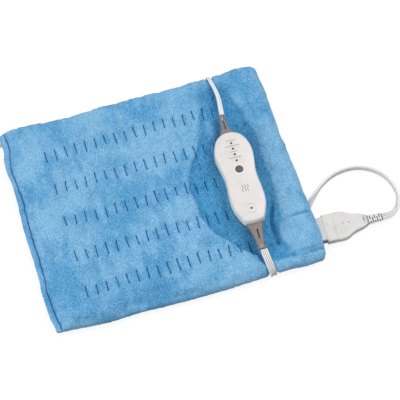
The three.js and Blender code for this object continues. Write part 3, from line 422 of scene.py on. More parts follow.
def felt_layer(name, node, seed):
    """A sheet of felt in the place of its CAD node, with a faint swell and soft edges."""
    low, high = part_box(node)
    bpy.ops.object.select_all(action="DESELECT")
    bpy.ops.mesh.primitive_grid_add(x_subdivisions=felt_lines[0] - 1, y_subdivisions=felt_lines[1] - 1)
    layer = bpy.context.object
    layer.name = name
    x, y = np.meshgrid(np.linspace(low[0], high[0], felt_lines[0]),
                       np.linspace(low[1], high[1], felt_lines[1]))
    edge = np.minimum(np.minimum(x - low[0], high[0] - x), np.minimum(y - low[1], high[1] - y))
    z = (low[2] + high[2]) / 2 + felt_swell * uneven(x, y, felt_swell_wave, seed)
    x = x + felt_drift * uneven(y, x, felt_drift_wave, seed + 1) * (edge > 0)
    layer.data.vertices.foreach_set("co", np.stack([x, y, z], 2).astype(np.float32).ravel())
    layer.data.update()
    modify(layer, "SOLIDIFY", thickness=high[2] - low[2] - 2 * felt_shrink, offset=0)
    soften(layer, felt_edge, 60)
    dress(layer, needled, "felt", moulded=False)
    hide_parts(node)


def numbered(name, count):
    """The names of like CAD nodes, which differ in their number."""
    return [f"{name}_{number + 1}" for number in range(count)]


def coat(finish, *nodes):
    """Gives a finished material to CAD nodes whose shapes are right."""
    for node in nodes:
        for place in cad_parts[node].material_slots:
            place.material = finish.material


needled = Finish("needled_felt", {"Roughness": 0.95, "Sheen Weight": 0.3,
                                  "Sheen Roughness": 0.6, "Specular IOR Level": 0.2})
tufts = needled.noise(420, detail=4, roughness=0.65)
clouds = needled.noise(60, detail=3)
needled.grained(clouds * 0.5 + tufts * 0.5, (222, 216, 206), (243, 240, 233))
needled.bump(tufts, 0.0006)
felt_layer("felt_under_wire", "felt_lower", 31)
felt_layer("felt_over_wire", "felt_upper", 37)

# Heating wire: one insulated resistance wire laid to and fro between the rows of tacks, with
# two leads to the socket and two steel-cased thermostats clipped to its lanes.
jacket = Finish("amber_insulation", {"Coat Weight": 0.2, "Coat Roughness": 0.3})
spun = jacket.noise(700, detail=3, stretch=(0.4, 1, 1))
jacket.grained(spun, (188, 126, 76), (218, 160, 104), (0.3, 0.2))
jacket.bump(spun, 0.00005)
coat(jacket, "heating_wire", "inlet_lead_live", "inlet_lead_return")
plated = Finish("plated_steel", {"Metallic": 0.9})
rolled = plated.noise(1400, detail=4, stretch=(0.1, 1, 1))
plated.grained(rolled, (168, 168, 172), (204, 204, 206), (0.24, 0.22))
plated.bump(rolled, 0.00002)
coat(plated, "thermostat_1", "thermostat_2", *numbered("controller_screw", 4))

# Cover: two panels of brushed blue plush, sewn together all round and filled with a soft
# layer. Rows of bar tacks hold the layers together, a stitched seam runs down the left edge,
# and the strapped controller pulls a valley across the pad.
pad_length = 0.381
pad_width = 0.3175
pad_crown = 0.024
rim_height = 0.01
back_rim_drop = 0.0035
rim_roll = 0.017
foot_roll = 0.009
rim_lines = 8
corner_radius = 0.009
seamed_corner_radius = 0.003
corner_power = 4.0
side_end = 0.159
side_reach = 0.152
edge_end = 0.191
edge_reach = 0.1828


def edge_table(end, reach, offsets):
    """A table of offsets at even places along an edge, read to the millimetre."""
    places = np.linspace(-reach, reach, len(offsets)).round(3)
    return [(-end, offsets[0]), *zip(places, offsets), (end, offsets[-1])]


# How far the sewn outline stands out of a plain oblong, along each side
left_edge = edge_table(side_end, side_reach, (
    -0.0031, 0.0001, 0.0004, 0.0013, -0.0005, -0.0007, -0.0005, 0.0001, 0.0005, -0.0003, -0.0013,
    -0.0016, -0.0016, 0.0006, 0, -0.0034, -0.0022))
right_edge = edge_table(side_end, side_reach, (
    -0.0022, 0.0008, 0.0021, 0.0009, 0.0004, -0.0004, -0.0002, -0.0002, -0.0013, -0.0009, -0.0022,
    -0.0013, -0.0014, -0.0007, 0.0001, -0.0008, -0.002))
front_edge = edge_table(edge_end, edge_reach, (
    -0.0042, -0.0024, -0.0002, 0.0011, 0.0003, -0.0001, 0.0012, 0.0019, 0.0027, 0.0026, 0.0027,
    0.0018, 0.0012, 0.0004, -0.0001, 0.0015, 0.0007))
back_edge = edge_table(edge_end, edge_reach, (
    -0.0015, 0.001, -0.0005, -0.0028, -0.0035, -0.0032, -0.0022, -0.0021, -0.0016, -0.0018, -0.0026,
    -0.0022, -0.0018, -0.001, -0.0006, 0.001, -0.001))
swell = 0.0007
swell_waves = ((1, 0.06, 5), (0.6, 0.028, 6))  # each one's share, length and seed
row_sink = 0.0009  # the cover lies a little lower along each row of tacks
row_sink_width = 0.011
row_half_length = 0.13
row_middle_x = -0.0125
row_end_fade = 0.012
edge_ripples = ((0.00025, 0.016, 41), (0.00022, 0.0055, 43))
tack_columns = 18
tack_rows = 5
tack_pitch = 0.0142
row_pitch = 0.05275
first_tack_x = -0.134
first_row_y = -0.113
tack_half_length = 0.0092
tack_wander = 0.0016
tack_lean = 0.0006
tack_end_fade = 0.0025
tack_length_share = 0.6
# Grid lines between one tack and the next, close together beside each tack
tack_line_shares = (0, 0.045, 0.095, 0.19, 0.31, 0.44, 0.56, 0.69, 0.81, 0.905, 0.955)
lines_per_row = 30
foot_swell = 0.0004
foot_groove = 0.0012  # the tacks draw the underside up by less than the upper side
foot_pull = 0.0006
tack_groove = 0.0016
tack_groove_width = 0.0006
tack_pull = 0.0005
tack_pull_width = 0.0042
# painted shade along each bar tack: how dark and how wide
tack_shade = 0.75
tack_shade_width = 0.0013
seam_line = [(-0.159, -0.1825), (-0.142, -0.1823), (-0.12, -0.1829), (-0.094, -0.1835), (-0.063, -0.1829),
             (-0.03, -0.1829), (-0.002, -0.1826), (0.03, -0.1827), (0.052, -0.1825), (0.078, -0.1844),
             (0.1, -0.1831), (0.125, -0.1817), (0.142, -0.182), (0.159, -0.1812)]
seam_line_offsets = (-0.0024, -0.0014, -0.0007, 0, 0.0007, 0.0015, 0.0027)
seam_follow = 0.003  # the grid follows the seam this far from it, and fades out after it
seam_follow_fade = 0.018
seam_end_fade = 0.006
least_line_gap = 0.0006
seam_line_room = 0.0008
outline_room = 0.004
seam_groove = 0.0036
seam_groove_width = 0.0011
flange_height = 0.0122
flange_roll = 0.0022
flange_fill = 0.03
edge_blend = 0.0025
controller_x = 0.111
controller_y = -0.0215
controller_middle = 0.0022
controller_tilt = math.radians(-2.4)
seat_height = 0.0185
seat_core_width = 0.02
seat_core_length = 0.066
seat_reach = 0.012
seat_fade = 0.02
valley_depth = 0.0058
valley_edge = 0.008
valley_wall = 0.012
valley_edge_wander = 0.0015
valley_wall_wander = 0.0008
valley_end_start = 0.006
valley_end_fade = 0.03
valley_end_share = 0.3  # of its depth that the valley keeps at the pad's edges
valley_back_y = 0.088
valley_back_fade = 0.03
valley_back_share = 0.55  # of its depth that it loses towards the back edge
bank_rise = 0.0009  # the plush pushed up right of the valley
bank_off = 0.02
bank_width = 0.012
bank_half_length = 0.135
bank_fade = 0.03
seat_edge = 0.007
seat_edge_fade = 0.005
# The plush that swells up behind the casing, left of the pad's cord
swell_middle = (0.093, 0.074)
swell_lean = 0.2
swell_lean_y = 0.06
swell_half_width = 0.0135
swell_half_length = 0.034
swell_rise = 0.0046
swell_gap = 0.003
swell_gap_fade = 0.008
# how far the cover is drawn in where its painted shade begins, and where it is full
drop_shaded = (0.001, 0.0036)
strap_dip = 0.0024
strap_half_width = 0.014
pocket_left = 0.1295
pocket_top = -0.0895
pocket_bottom = -0.142
pocket_rise = 0.0024
pocket_edge = 0.003
pocket_roll = 0.6 * rim_roll
pocket_side = 0.02
pocket_crease = 0.0034
pocket_crease_width = 0.0016
pocket_fold = 0.0085
pocket_fold_width = 0.003
pocket_wander = 0.0012
pocket_side_wander = 0.001
pocket_side_start = 0.002
pocket_crease_off = 0.001
pocket_crease_start = 0.016
pocket_crease_fade = 0.016
# The fold beside the socket: where it starts, how it leans and where it fades at both ends
fold_start_x = 0.1316
fold_start_y = -0.087
fold_lean = 0.37
fold_back_y = -0.056
fold_back_fade = 0.02
fold_front_y = -0.128
fold_front_fade = 0.014
hem_off = 0.0015
hem_start = 0.016
hem_fade = 0.014
hem_edge_fade = 0.005
hem_groove = 0.0042
hem_groove_width = 0.0021
# Dents of the sewn edge: where each lies, how far it reaches both ways and how deep it is
edge_dents = [(-0.1687, -0.127, 0.012, 0.003, 0.0022), (-0.123, -0.148, 0.0022, 0.013, 0.0026),
              (-0.131, -0.149, 0.002, 0.009, 0.0016), (-0.07, -0.15, 0.016, 0.006, 0.002),
              (-0.03, -0.151, 0.003, 0.01, 0.0015), (0.02, -0.15, 0.0025, 0.008, 0.0014),
              (0.06, -0.15, 0.003, 0.01, 0.0013), (-0.184, -0.06, 0.006, 0.003, 0.0012)]
rim_give = 0.001
press_gap = 0.0003
felt_cover = 0.0007
part_room = 0.001
part_fade = 0.004
press_fade = 0.0032
press_core = 0.012  # a strap draws the plush towards a core this far inside the pad
press_flat = 0.0004
press_reach = 0.004
press_lift = 0.006
press_slice = 0.003
points_at_once = 4000
pile_height = 0.0001
sewn_within = 0.00002  # points of the two panels that lie this close become one
pile_shade = 0.37
pile_shine = 0.25
# Places by the front edge where the plush is painted darker: where each is, how far it reaches both ways
# and how much
darkened_places = [(-0.052, -0.14, 0.03, 0.012, 0.7), (-0.14, -0.15, 0.03, 0.008, 0.6),
               (-0.098, -0.136, 0.012, 0.018, 0.35), (0.02, -0.146, 0.03, 0.009, 0.45)]
# Where the valley's right wall starts, and where its left edge runs, as points from the front
# edge to the back edge
right_wall = [(-0.159, 0.147), (-0.13, 0.138), (-0.116, 0.131), (-0.101, 0.1315), (-0.087, 0.1315),
              (-0.0725, 0.1365), (-0.058, 0.1405), (-0.0435, 0.142), (-0.029, 0.142), (-0.0145, 0.1415),
              (0, 0.1395), (0.0145, 0.1395), (0.029, 0.1435), (0.0435, 0.1465), (0.058, 0.1435),
              (0.0725, 0.1415), (0.087, 0.1405), (0.1, 0.137), (0.116, 0.135), (0.159, 0.132)]
valley_line = [(0.098, -0.159), (0.095, -0.13), (0.065, -0.1), (0.0505, -0.08),
               (0.0385, -0.0523), (0.037, -0.0072), (0.0519, 0.0296), (0.0704, 0.0567),
               (0.0785, 0.0706), (0.08, 0.0925), (0.0915, 0.1271), (0.099, 0.159)]
half_length = pad_length / 2
half_width = pad_width / 2


def soft_step(t):
    """0 up to t = 0 and 1 from t = 1, with a soft change between them."""
    t = np.clip(t, 0, 1)
    return t * t * (3 - 2 * t)


def bell(t):
    """1 at t = 0, falling to 0 on both sides."""
    return np.exp(-t * t)


def along_table(table, at):
    """A smooth value between the entries of a table."""
    return np.interp(at, *smooth_line(table, 6).T)


def rim_places(half):
    """Places of the lines on a rolled rim, from the edge inwards."""
    turn = np.linspace(0, math.pi / 2, rim_lines + 1)[:-1]
    return half - rim_roll * (1 - np.cos(turn))


def grid_lines_x():
    """Places of the grid's lines along the pad: on the rim, the seam and each tack."""
    tacked = (first_tack_x + tack_pitch * (np.arange(tack_columns)[:, None]
                                           + np.array(tack_line_shares))).ravel()
    inner = half_length - rim_roll
    before = np.arange(first_tack_x - tack_pitch / 8, -inner, -tack_pitch / 8)[::-1]
    after = np.arange(tacked[-1] + tack_pitch / 8, inner - tack_pitch / 16, tack_pitch / 8)
    seam = np.array([x for _, x in seam_line]).mean() + np.array(seam_line_offsets)
    rim = rim_places(half_length)
    left = -rim[np.abs(-rim[:, None] - seam).min(axis=1) > least_line_gap]
    left = np.sort(np.concatenate([left, seam]))
    before = before[before > left[-1] + seam_line_room]
    return np.concatenate([left, before, tacked, after, rim[::-1]])


def grid_lines_y():
    """Places of the grid's lines across the pad: close together on the rolled rim."""
    pitch = row_pitch / lines_per_row
    inner = half_width - rim_roll
    start = first_row_y - math.floor((first_row_y + inner) / pitch) * pitch
    rim = rim_places(half_width)
    return np.concatenate([-rim, np.arange(start, inner - pitch / 4, pitch), rim[::-1]])


def follow_seam(x, y):
    """Shifts the grid near the left edge, so that one line of it runs along the seam."""
    middle = np.array([at for _, at in seam_line]).mean()
    shift = along_table(seam_line, y) - middle
    near = 1 - soft_step((np.abs(x - middle) - seam_follow) / seam_follow_fade)
    room = soft_step((half_length + x) / outline_room)
    return x + shift * near * room


def inward(x, y):
    """How far a place lies inside the pad's outline."""
    near = np.maximum(np.stack([half_length - np.abs(x), half_width - np.abs(y)]), 1e-7)
    return (near**-corner_power).sum(axis=0) ** (-1 / corner_power)


def outline(x, y):
    """Rounds the corners, and moves the sides to the sewn outline."""
    radius = np.where((x < 0) & (y < 0), seamed_corner_radius, corner_radius)
    over_x = np.abs(x) - (half_length - radius)
    over_y = np.abs(y) - (half_width - radius)
    corner = (over_x > 0) & (over_y > 0)
    scale = np.where(corner, np.maximum(over_x, over_y) / np.hypot(over_x, over_y).clip(1e-9), 1)
    across = np.where(corner, np.sign(x) * (half_length - radius + over_x * scale), x)
    up = np.where(corner, np.sign(y) * (half_width - radius + over_y * scale), y)
    share_x, share_y = across / half_length, up / half_width
    side = np.where(x < 0, along_table(left_edge, y), along_table(right_edge, y))
    end = np.where(y < 0, along_table(front_edge, x), along_table(back_edge, x))
    for ripple, wave, seed in edge_ripples:
        side = side + ripple * uneven(np.sign(x), y, wave, seed)
        end = end + ripple * uneven(x, np.sign(y), wave, seed)
    return across + side * share_x**3, up + end * share_y**3


def tacks():
    """Each bar tack: its column and row, how far its ends lie from the row, and its lean."""
    draw = np.random.default_rng(11)
    for row in range(tack_rows):
        for column in range(tack_columns):
            shift, long, lean = draw.uniform(-1, 1, 3)
            half = tack_half_length + tack_wander * tack_length_share * long
            yield column, row, tack_wander * shift - half, tack_wander * shift + half, tack_lean * lean


def tack_marks(x, y, width):
    """How strongly the bar tacks draw in each place."""
    marks = np.zeros_like(x)
    for column, row, low, high, lean in tacks():
        middle_y = first_row_y + row * row_pitch
        middle_x = first_tack_x + column * tack_pitch
        near = (np.abs(x - middle_x) < tack_pitch) & (np.abs(y - middle_y) < 2 * tack_half_length)
        off_y = y[near] - middle_y
        off_x = x[near] - middle_x - lean * off_y / tack_half_length
        long = soft_step((off_y - low) / tack_end_fade) * soft_step((high - off_y) / tack_end_fade)
        marks[near] += long * bell(off_x / width)
    return marks


def rim_level(y):
    """Height of the sewn edge, which drops over the back half."""
    return rim_height - back_rim_drop * soft_step(2 * y / half_width - 1)


def rolled(level, top, share):
    """Height of a round edge, from its level at share 0 to its top at share 1."""
    return level + (top - level) * np.sqrt(1 - (1 - np.clip(share, 0, 1)) ** 2)


def cover_top(x, y):
    """Height of the cover's upper side, before the cords press it in."""
    inside = inward(x, y)
    rise = soft_step(inside / rim_roll)
    level = rim_level(y)
    other_sides = np.minimum(half_length - x, half_width - np.abs(y))
    z = rolled(level, pad_crown, other_sides / rim_roll)
    off = x - along_table(seam_line, y)
    flange = rolled(level, flange_height, (x + half_length) / flange_roll)
    flange = flange + (pad_crown - flange_height) * np.sin(np.clip(off / flange_fill, 0, 1) * math.pi / 2)
    gap = z - flange
    blended = edge_blend * (1 - soft_step(inside / outline_room))
    z = np.maximum((z + flange - np.sqrt(gap**2 + edge_blend**2) + blended) / 2, level)
    z = z + rise * swell * sum(share * uneven(x, y, wave, seed) for share, wave, seed in swell_waves)
    ends = soft_step((half_width - np.abs(y)) / seam_end_fade)
    z = z - ends * seam_groove * bell(off / seam_groove_width)
    in_row = soft_step((row_half_length - np.abs(x - row_middle_x)) / row_end_fade)
    for row in range(tack_rows):
        z = z - in_row * row_sink * bell((y - first_row_y - row * row_pitch) / row_sink_width)
    return (z - tack_groove * tack_marks(x, y, tack_groove_width)
            - tack_pull * tack_marks(x, y, tack_pull_width))


def valleys(x, y, z):
    """Lowers the cover where the controller sits and where its cords are strapped across."""
    inside = inward(x, y)
    rise = soft_step(inside / rim_roll)
    turn = np.cos(controller_tilt), np.sin(controller_tilt)
    u = (x - controller_x) * turn[0] + (y - controller_y) * turn[1]
    v = (y - controller_y) * turn[0] - (x - controller_x) * turn[1]
    gap = np.hypot(np.maximum(np.abs(u) - seat_core_width, 0),
                   np.maximum(np.abs(v - controller_middle) - seat_core_length, 0))
    line_x, line_y = np.array(valley_line).T
    edge = np.interp(y, line_y, line_x) + valley_edge_wander * uneven(x, y, 0.05, 9)
    wall = along_table(right_wall, y) + valley_wall_wander * uneven(x, y, 0.03, 10)
    fall = soft_step((x - edge) / valley_edge) * (1 - soft_step((x - wall) / valley_wall))
    ends = soft_step((inside - valley_end_start) / valley_end_fade)
    fall = fall * (valley_end_share + (1 - valley_end_share) * ends)
    fall = fall * (1 - valley_back_share * soft_step((y - valley_back_y) / valley_back_fade))
    z = z - valley_depth * rise * fall
    z = z - rise * ends * strap_dip * bell(u / strap_half_width)
    bank = bell((x - wall - bank_off) / bank_width) * soft_step((bank_half_length - np.abs(v)) / bank_fade)
    z = z + rise * bank_rise * bank
    seated = soft_step((seat_reach + seat_fade - gap) / seat_fade)
    z = np.minimum(z, z + (seat_height - z) * seated)
    z = z + np.maximum(seat_height - z, 0) * soft_step((seat_edge - gap) / seat_edge_fade)
    swell_x = swell_middle[0] + swell_lean * (y - swell_lean_y)
    swollen = bell((x - swell_x) / swell_half_width) * bell((y - swell_middle[1]) / swell_half_length)
    return z + swell_rise * swollen * soft_step((gap - swell_gap) / swell_gap_fade)


def pocket(x, y, z):
    """Raises the cover over the socket, and sews the hem below it."""
    inside = inward(x, y)
    rise = soft_step(inside / pocket_roll)
    top_y = pocket_top + pocket_wander * uneven(x, 0 * x, 0.05, 15)
    left_x = pocket_left + pocket_side_wander * uneven(0 * y, y, 0.04, 16)
    over = (soft_step((x - left_x - pocket_side_start) / pocket_side)
            * soft_step((top_y - y) / pocket_edge) * soft_step((y - pocket_bottom) / pocket_edge))
    crease = (bell((y - top_y - pocket_crease_off) / pocket_crease_width)
              * soft_step((x - left_x - pocket_crease_start) / pocket_crease_fade))
    fold_x = fold_start_x + fold_lean * np.maximum(y - fold_start_y, 0)
    fold = (bell((x - fold_x) / pocket_fold_width) * soft_step((fold_back_y - y) / fold_back_fade)
            * soft_step((y - fold_front_y) / fold_front_fade))
    hem_y = pocket_bottom - hem_off + pocket_wander * uneven(x, 0 * x, 0.06, 12)
    hem = bell((y - hem_y) / hem_groove_width) * soft_step((x - left_x + hem_start) / hem_fade)
    z = z + rise * (pocket_rise * over - pocket_crease * crease - pocket_fold * fold)
    return z - hem_groove * hem * soft_step(inside / hem_edge_fade)


def dents(x, y, z):
    """Presses the small dents of the sewn edge in, none of them below the rim."""
    for middle_x, middle_y, wide, long, deep in edge_dents:
        z = z - deep * bell((x - middle_x) / wide) * bell((y - middle_y) / long)
    return np.maximum(z, rim_level(y) - rim_give)


def over_parts(x, y, z):
    """Keeps the cover above the felt and the wiring inside it."""
    for node in ("felt_upper", "inlet_lead_live", "inlet_lead_return", "thermostat_1", "thermostat_2"):
        low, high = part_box(node)
        within = np.maximum(np.maximum(low[0] - x, x - high[0]), np.maximum(low[1] - y, y - high[1]))
        z = np.maximum(z, (high[2] + felt_cover) * (1 - soft_step((within - part_room) / part_fade)))
    return z


def pressed(points, route, lays, width):
    """Moves the cover's points off a flat cord that is strapped round the pad."""
    along = np.gradient(route, axis=0)
    along /= np.linalg.norm(along, axis=1)[:, None]
    core = np.column_stack([np.clip(route[:, 0], press_core - half_length, half_length - press_core),
                            np.clip(route[:, 1], press_core - half_width, half_width - press_core),
                            np.full(len(route), press_core)])
    out = route - core
    out -= along * (out * along).sum(axis=1)[:, None]
    out /= np.linalg.norm(out, axis=1)[:, None]
    side = np.cross(along, out)
    turn = lays * math.pi / 2
    half_wide = np.hypot(width / 2 * np.cos(turn), cord_thickness / 2 * np.sin(turn))
    half_thin = np.hypot(width / 2 * np.sin(turn), cord_thickness / 2 * np.cos(turn))
    reach = width / 2 + press_fade + press_reach
    near_pad = (np.abs(route[:, 0]) < half_length + reach) & (np.abs(route[:, 1]) < half_width + reach)
    keep = np.flatnonzero(near_pad)
    low, high = route[keep].min(axis=0) - reach, route[keep].max(axis=0) + reach
    close = np.flatnonzero(((points > low) & (points < high)).all(axis=1))
    for start in range(0, len(close), points_at_once):
        picked = close[start:start + points_at_once]
        chunk = points[picked]
        away = chunk[:, None] - route[keep][None]
        nearest = (away**2).sum(axis=2).argmin(axis=1)
        k = keep[nearest]
        off = chunk - route[k]
        a = np.abs((off * side[k]).sum(axis=1))
        b = (off * out[k]).sum(axis=1)
        ends = np.abs((off * along[k]).sum(axis=1)) < press_slice
        fade = soft_step(1 - (a - half_wide[k] - press_flat) / press_fade)
        push = np.maximum(b + half_thin[k] + press_gap, 0) * fade
        push[(a > half_wide[k] + press_fade) | (b > half_thin[k] + press_lift) | ~ends] = 0
        points[picked] = chunk - out[k] * push[:, None]


def plush_grid(name, x, y, points):
    """A grid of the plush, its points in rows from the front edge to the back edge."""
    bpy.ops.object.select_all(action="DESELECT")
    bpy.ops.mesh.primitive_grid_add(x_subdivisions=len(x) - 1, y_subdivisions=len(y) - 1)
    panel = bpy.context.object
    panel.name = name
    panel.data.vertices.foreach_set("co", points.astype(np.float32).ravel())
    panel.data.update()
    return panel


def cover_points(lines_x, lines_y):
    """The upper and the lower panel's points, as sewn, before anything presses on them, and
    how much of the upper one's plush keeps its lit colour: 0 where painted shade darkens it, where the
    cover is drawn in and round the tacks, and where it is painted darker in a few places by the front edge."""
    x, y = np.meshgrid(lines_x, lines_y)
    x = follow_seam(x, y)
    across, up = outline(x, y)
    full = cover_top(x, y)
    drawn_in = dents(x, y, pocket(x, y, valleys(x, y, full)))
    # The plush is painted in shade where the cover is drawn in and round the tacks, and painted darker at
    # the listed places by the front edge.
    first_shaded, all_shaded = drop_shaded
    unshaded = 1 - soft_step((full - drawn_in - first_shaded) / (all_shaded - first_shaded))
    unshaded = unshaded * (1 - tack_shade * np.clip(tack_marks(x, y, tack_shade_width), 0, 1))
    for middle_x, middle_y, wide, long, share in darkened_places:
        unshaded = unshaded * (1 - share * bell((x - middle_x) / wide) * bell((y - middle_y) / long))
    top = np.stack([across, up, over_parts(across, up, drawn_in)], axis=2)
    inside = inward(x, y)
    turn = np.clip(inside / foot_roll, 0, 1)
    under_z = rim_level(y) * (1 - np.sqrt(1 - (1 - turn) ** 2))
    under_z = under_z + foot_swell * soft_step(turn) * (1 + uneven(x, y, 0.05, 14))
    under_z = (under_z + foot_groove * tack_marks(x, y, tack_groove_width)
               + foot_pull * tack_marks(x, y, tack_pull_width))
    edge = inside < 1e-6
    top[..., 2][edge] = rim_level(y)[edge]
    under_z[edge] = rim_level(y)[edge]
    return top, np.stack([across, up, under_z], axis=2), unshaded


cloth_pitch = 0.0046
cloth_pressure = 4
cloth_frames = 20
cloth_slack = -0.03
cloth_reach = 0.0022
cloth_held_wide = 0.0025
# What holds the cloth besides the tacks: how far from each it still holds
held_by_seam = 0.004
held_by_edge = 0.005
held_by_hem = 0.005
hem_held_from = 0.1
casing_held = (0.052, 0.112)
casing_held_fade = (0.012, 0.02)
strap_level = 0.012  # a cord above this height straps the upper side down
pad_strap_reach = 0.016
mains_strap_reach = 0.014


def thinned(lines):
    """Numbers of the grid lines that the coarse cloth keeps, about one pitch apart."""
    kept = [0]
    for k in range(1, len(lines) - 1):
        if lines[k] - lines[kept[-1]] >= cloth_pitch and lines[-1] - lines[k] >= cloth_pitch / 2:
            kept.append(k)
    return np.array([*kept, len(lines) - 1])


def near_route(places, route, reach):
    """1 on a cord's route across the pad, falling to 0 at the reach."""
    away = np.full(places.shape[:2], np.inf)
    for point in route[::3]:
        away = np.minimum(away, np.hypot(places[..., 0] - point[0], places[..., 1] - point[1]))
    return soft_step((reach - away) / (reach / 2))


def filled_out(lines_x, lines_y, top, under):
    """How far each place of the upper panel gives when the sewn cover fills out as cloth."""
    rows, columns = thinned(lines_y), thinned(lines_x)
    upper, lower = top[rows][:, columns], under[rows][:, columns]
    count_y, count_x = upper.shape[:2]
    x, y = np.meshgrid(lines_x[columns], lines_y[rows])
    numbers = np.arange(count_x * count_y).reshape(count_y, count_x)
    below = numbers.copy()
    below[1:-1, 1:-1] = count_x * count_y + np.arange((count_x - 2) * (count_y - 2)).reshape(
        count_y - 2, count_x - 2)

    def quads(at):
        """The faces between the numbered points of a grid."""
        return np.stack([at[:-1, :-1], at[:-1, 1:], at[1:, 1:], at[1:, :-1]], axis=2).reshape(-1, 4)

    mesh = bpy.data.meshes.new("filling_cloth")
    mesh.from_pydata(np.vstack([upper.reshape(-1, 3), lower[1:-1, 1:-1].reshape(-1, 3)]).tolist(), [],
                     np.vstack([quads(numbers), quads(below)[:, ::-1]]).tolist())
    cloth = bpy.data.objects.new("filling_cloth", mesh)
    bpy.context.collection.objects.link(cloth)
    u, v = x - controller_x, y - controller_y - controller_middle
    seat = 1
    for off, reach, fade in zip((u, v), casing_held, casing_held_fade):
        seat = seat * soft_step((reach - np.abs(off)) / fade)
    held = np.maximum.reduce([
        np.clip(tack_marks(x, y, cloth_held_wide), 0, 1),
        bell((x - along_table(seam_line, y)) / held_by_seam), seat,
        near_route(upper, pad_points[pad_points[:, 2] > strap_level], pad_strap_reach),
        near_route(upper, mains_points[mains_points[:, 2] > strap_level], mains_strap_reach),
        bell((y - pocket_bottom) / held_by_hem) * (x > hem_held_from),
        1 - soft_step(inward(x, y) / held_by_edge)])
    group = cloth.vertex_groups.new(name="held")
    for number, share in zip(numbers.ravel().tolist(), held.ravel().tolist()):
        group.add([number], share, "REPLACE")
    group.add(below[1:-1, 1:-1].ravel().tolist(), 1, "REPLACE")
    pick(cloth)
    fill = cloth.modifiers.new("fill", "CLOTH")
    fill.settings.vertex_group_mass = "held"
    fill.settings.use_pressure = True
    fill.settings.uniform_pressure_force = cloth_pressure
    fill.settings.shrink_min = cloth_slack
    fill.settings.effector_weights.gravity = 0
    fill.collision_settings.use_collision = False
    fill.point_cache.frame_end = cloth_frames
    for frame_number in range(1, cloth_frames + 1):
        bpy.context.scene.frame_set(frame_number)
    bpy.ops.object.modifier_apply(modifier="fill")
    moved = np.zeros(len(mesh.vertices) * 3, np.float32)
    cloth.data.vertices.foreach_get("co", moved)
    moved = moved.reshape(-1, 3)[:count_x * count_y].reshape(upper.shape) - upper
    bpy.data.objects.remove(cloth)
    bpy.context.scene.frame_set(1)
    far = np.linalg.norm(moved, axis=2, keepdims=True)
    moved = moved * cloth_reach * np.tanh(far / cloth_reach) / np.maximum(far, 1e-9)
    moved = np.stack([[np.interp(lines_x, lines_x[columns], line) for line in moved[..., axis]]
                      for axis in range(3)], axis=2)
    return np.stack([np.stack([np.interp(lines_y, lines_y[rows], moved[:, k, axis])
                               for k in range(len(lines_x))], axis=1) for axis in range(3)], axis=2)


def join_pieces(pieces):
    """Makes one piece of several, without welding them."""
    if len(pieces) > 1:
        pick(*pieces)
        bpy.ops.object.join()
    return pieces[0]


lines_x = grid_lines_x()
lines_y = grid_lines_y()
top, under, unshaded = cover_points(lines_x, lines_y)
top = top + filled_out(lines_x, lines_y, top, under)
jitter = np.random.default_rng(21).normal(0, pile_height / 2, (2, *top.shape))
jitter[:, [0, -1]] = 0
jitter[:, :, [0, -1]] = 0
for panel in (top, under):
    flat = panel.reshape(-1, 3)
    pressed(flat, pad_points, pad_lays, pad_cord_width)
    pressed(flat, mains_points, mains_lays, mains_cord_width)
top = top + jitter[0]
under = under + np.abs(jitter[1]) * (0, 0, 1)
under[..., 2] = np.maximum(under[..., 2], 0)

cover = plush_grid("plush_cover", lines_x, lines_y, top.reshape(-1, 3))
lower = plush_grid("plush_lower", lines_x, lines_y, under.reshape(-1, 3))
mark_points(cover, "unshaded_share", unshaded)
mark_points(lower, "unshaded_share", np.ones_like(unshaded))
face_outwards(join_pieces([cover, lower]), sewn_within)

plush = Finish("brushed_plush", {
    "Roughness": 0.95, "Sheen Weight": 0.03, "Sheen Roughness": 0.5,
    "Sheen Tint": colour(214, 234, 246), "Specular IOR Level": 0.05,
})
wide_nap = plush.noise(17, detail=3, roughness=0.5)
nap = plush.noise(62, detail=3, roughness=0.55, stretch=(1.4, 0.65, 1))
pile = plush.noise(640, detail=2, roughness=0.7, stretch=(1.5, 0.6, 1))
unshaded_share = plush.marked("unshaded_share")
laid = plush.between(wide_nap * 0.6 + nap * 0.4, 0.38, 0.61)
# Painted shade: the plush takes its shaded colours where the points say so, and its lit colours elsewhere.
lit_fur = plush.mix(laid, colour(76, 163, 219), colour(141, 200, 241))
shaded_fur = plush.mix(laid, colour(10, 124, 185), colour(46, 156, 215))
fur = plush.mix(unshaded_share, shaded_fur, lit_fur)
plush.feed(plush.shader, {"Base Color": plush.mix(
    plush.between(pile, 0.36, 0.64), plush.mix(pile_shade, fur, colour(24, 84, 140)),
    plush.mix(pile_shine, fur, colour(190, 236, 255)))})
plush.bump(pile + 0.4 * nap, 0.001)
dress(cover, plush, "plush", angle=180, moulded=False)
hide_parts("cover_upper_panel", "cover_lower_panel")

# Bar tacks and seam: short stitched bars of dark blue thread that hold the pad's layers
# together, on both sides of the pad, and the stitches of the seam in its groove.
thread_radius = 0.0008
thread_stitches = 7
thread_around = 6
thread_waist_share = 0.76
thread_end_share = 0.4
thread_inset = 0.0008
thread_lift = 0.00035
thread_lift_below = 0.0002
seam_thread_radius = 0.0006
seam_thread_lift = 0.0001
seam_thread_inset = 0.004
seam_thread_points = 260


def thread_bar(points, radius):
    """Rings of a thread along points, thicker at each stitch and thin at its ends."""
    shares = np.where(np.arange(len(points)) % 2, 1, thread_waist_share)
    shares[[0, -1]] = thread_end_share
    turn = np.linspace(0, 2 * math.pi, thread_around, endpoint=False)
    rings = []
    for here, (x, y, z) in zip(radius * shares, points):
        rings.append(np.column_stack([x + here * np.cos(turn), np.full(thread_around, y),
                                      z + here * np.sin(turn)]))
    return np.array(rings)


def on_panel(panel, line, y):
    """Where a grid line of a panel passes a place across the pad."""
    return [np.interp(y, panel[:, line, 1], panel[:, line, axis]) for axis in (0, 2)]


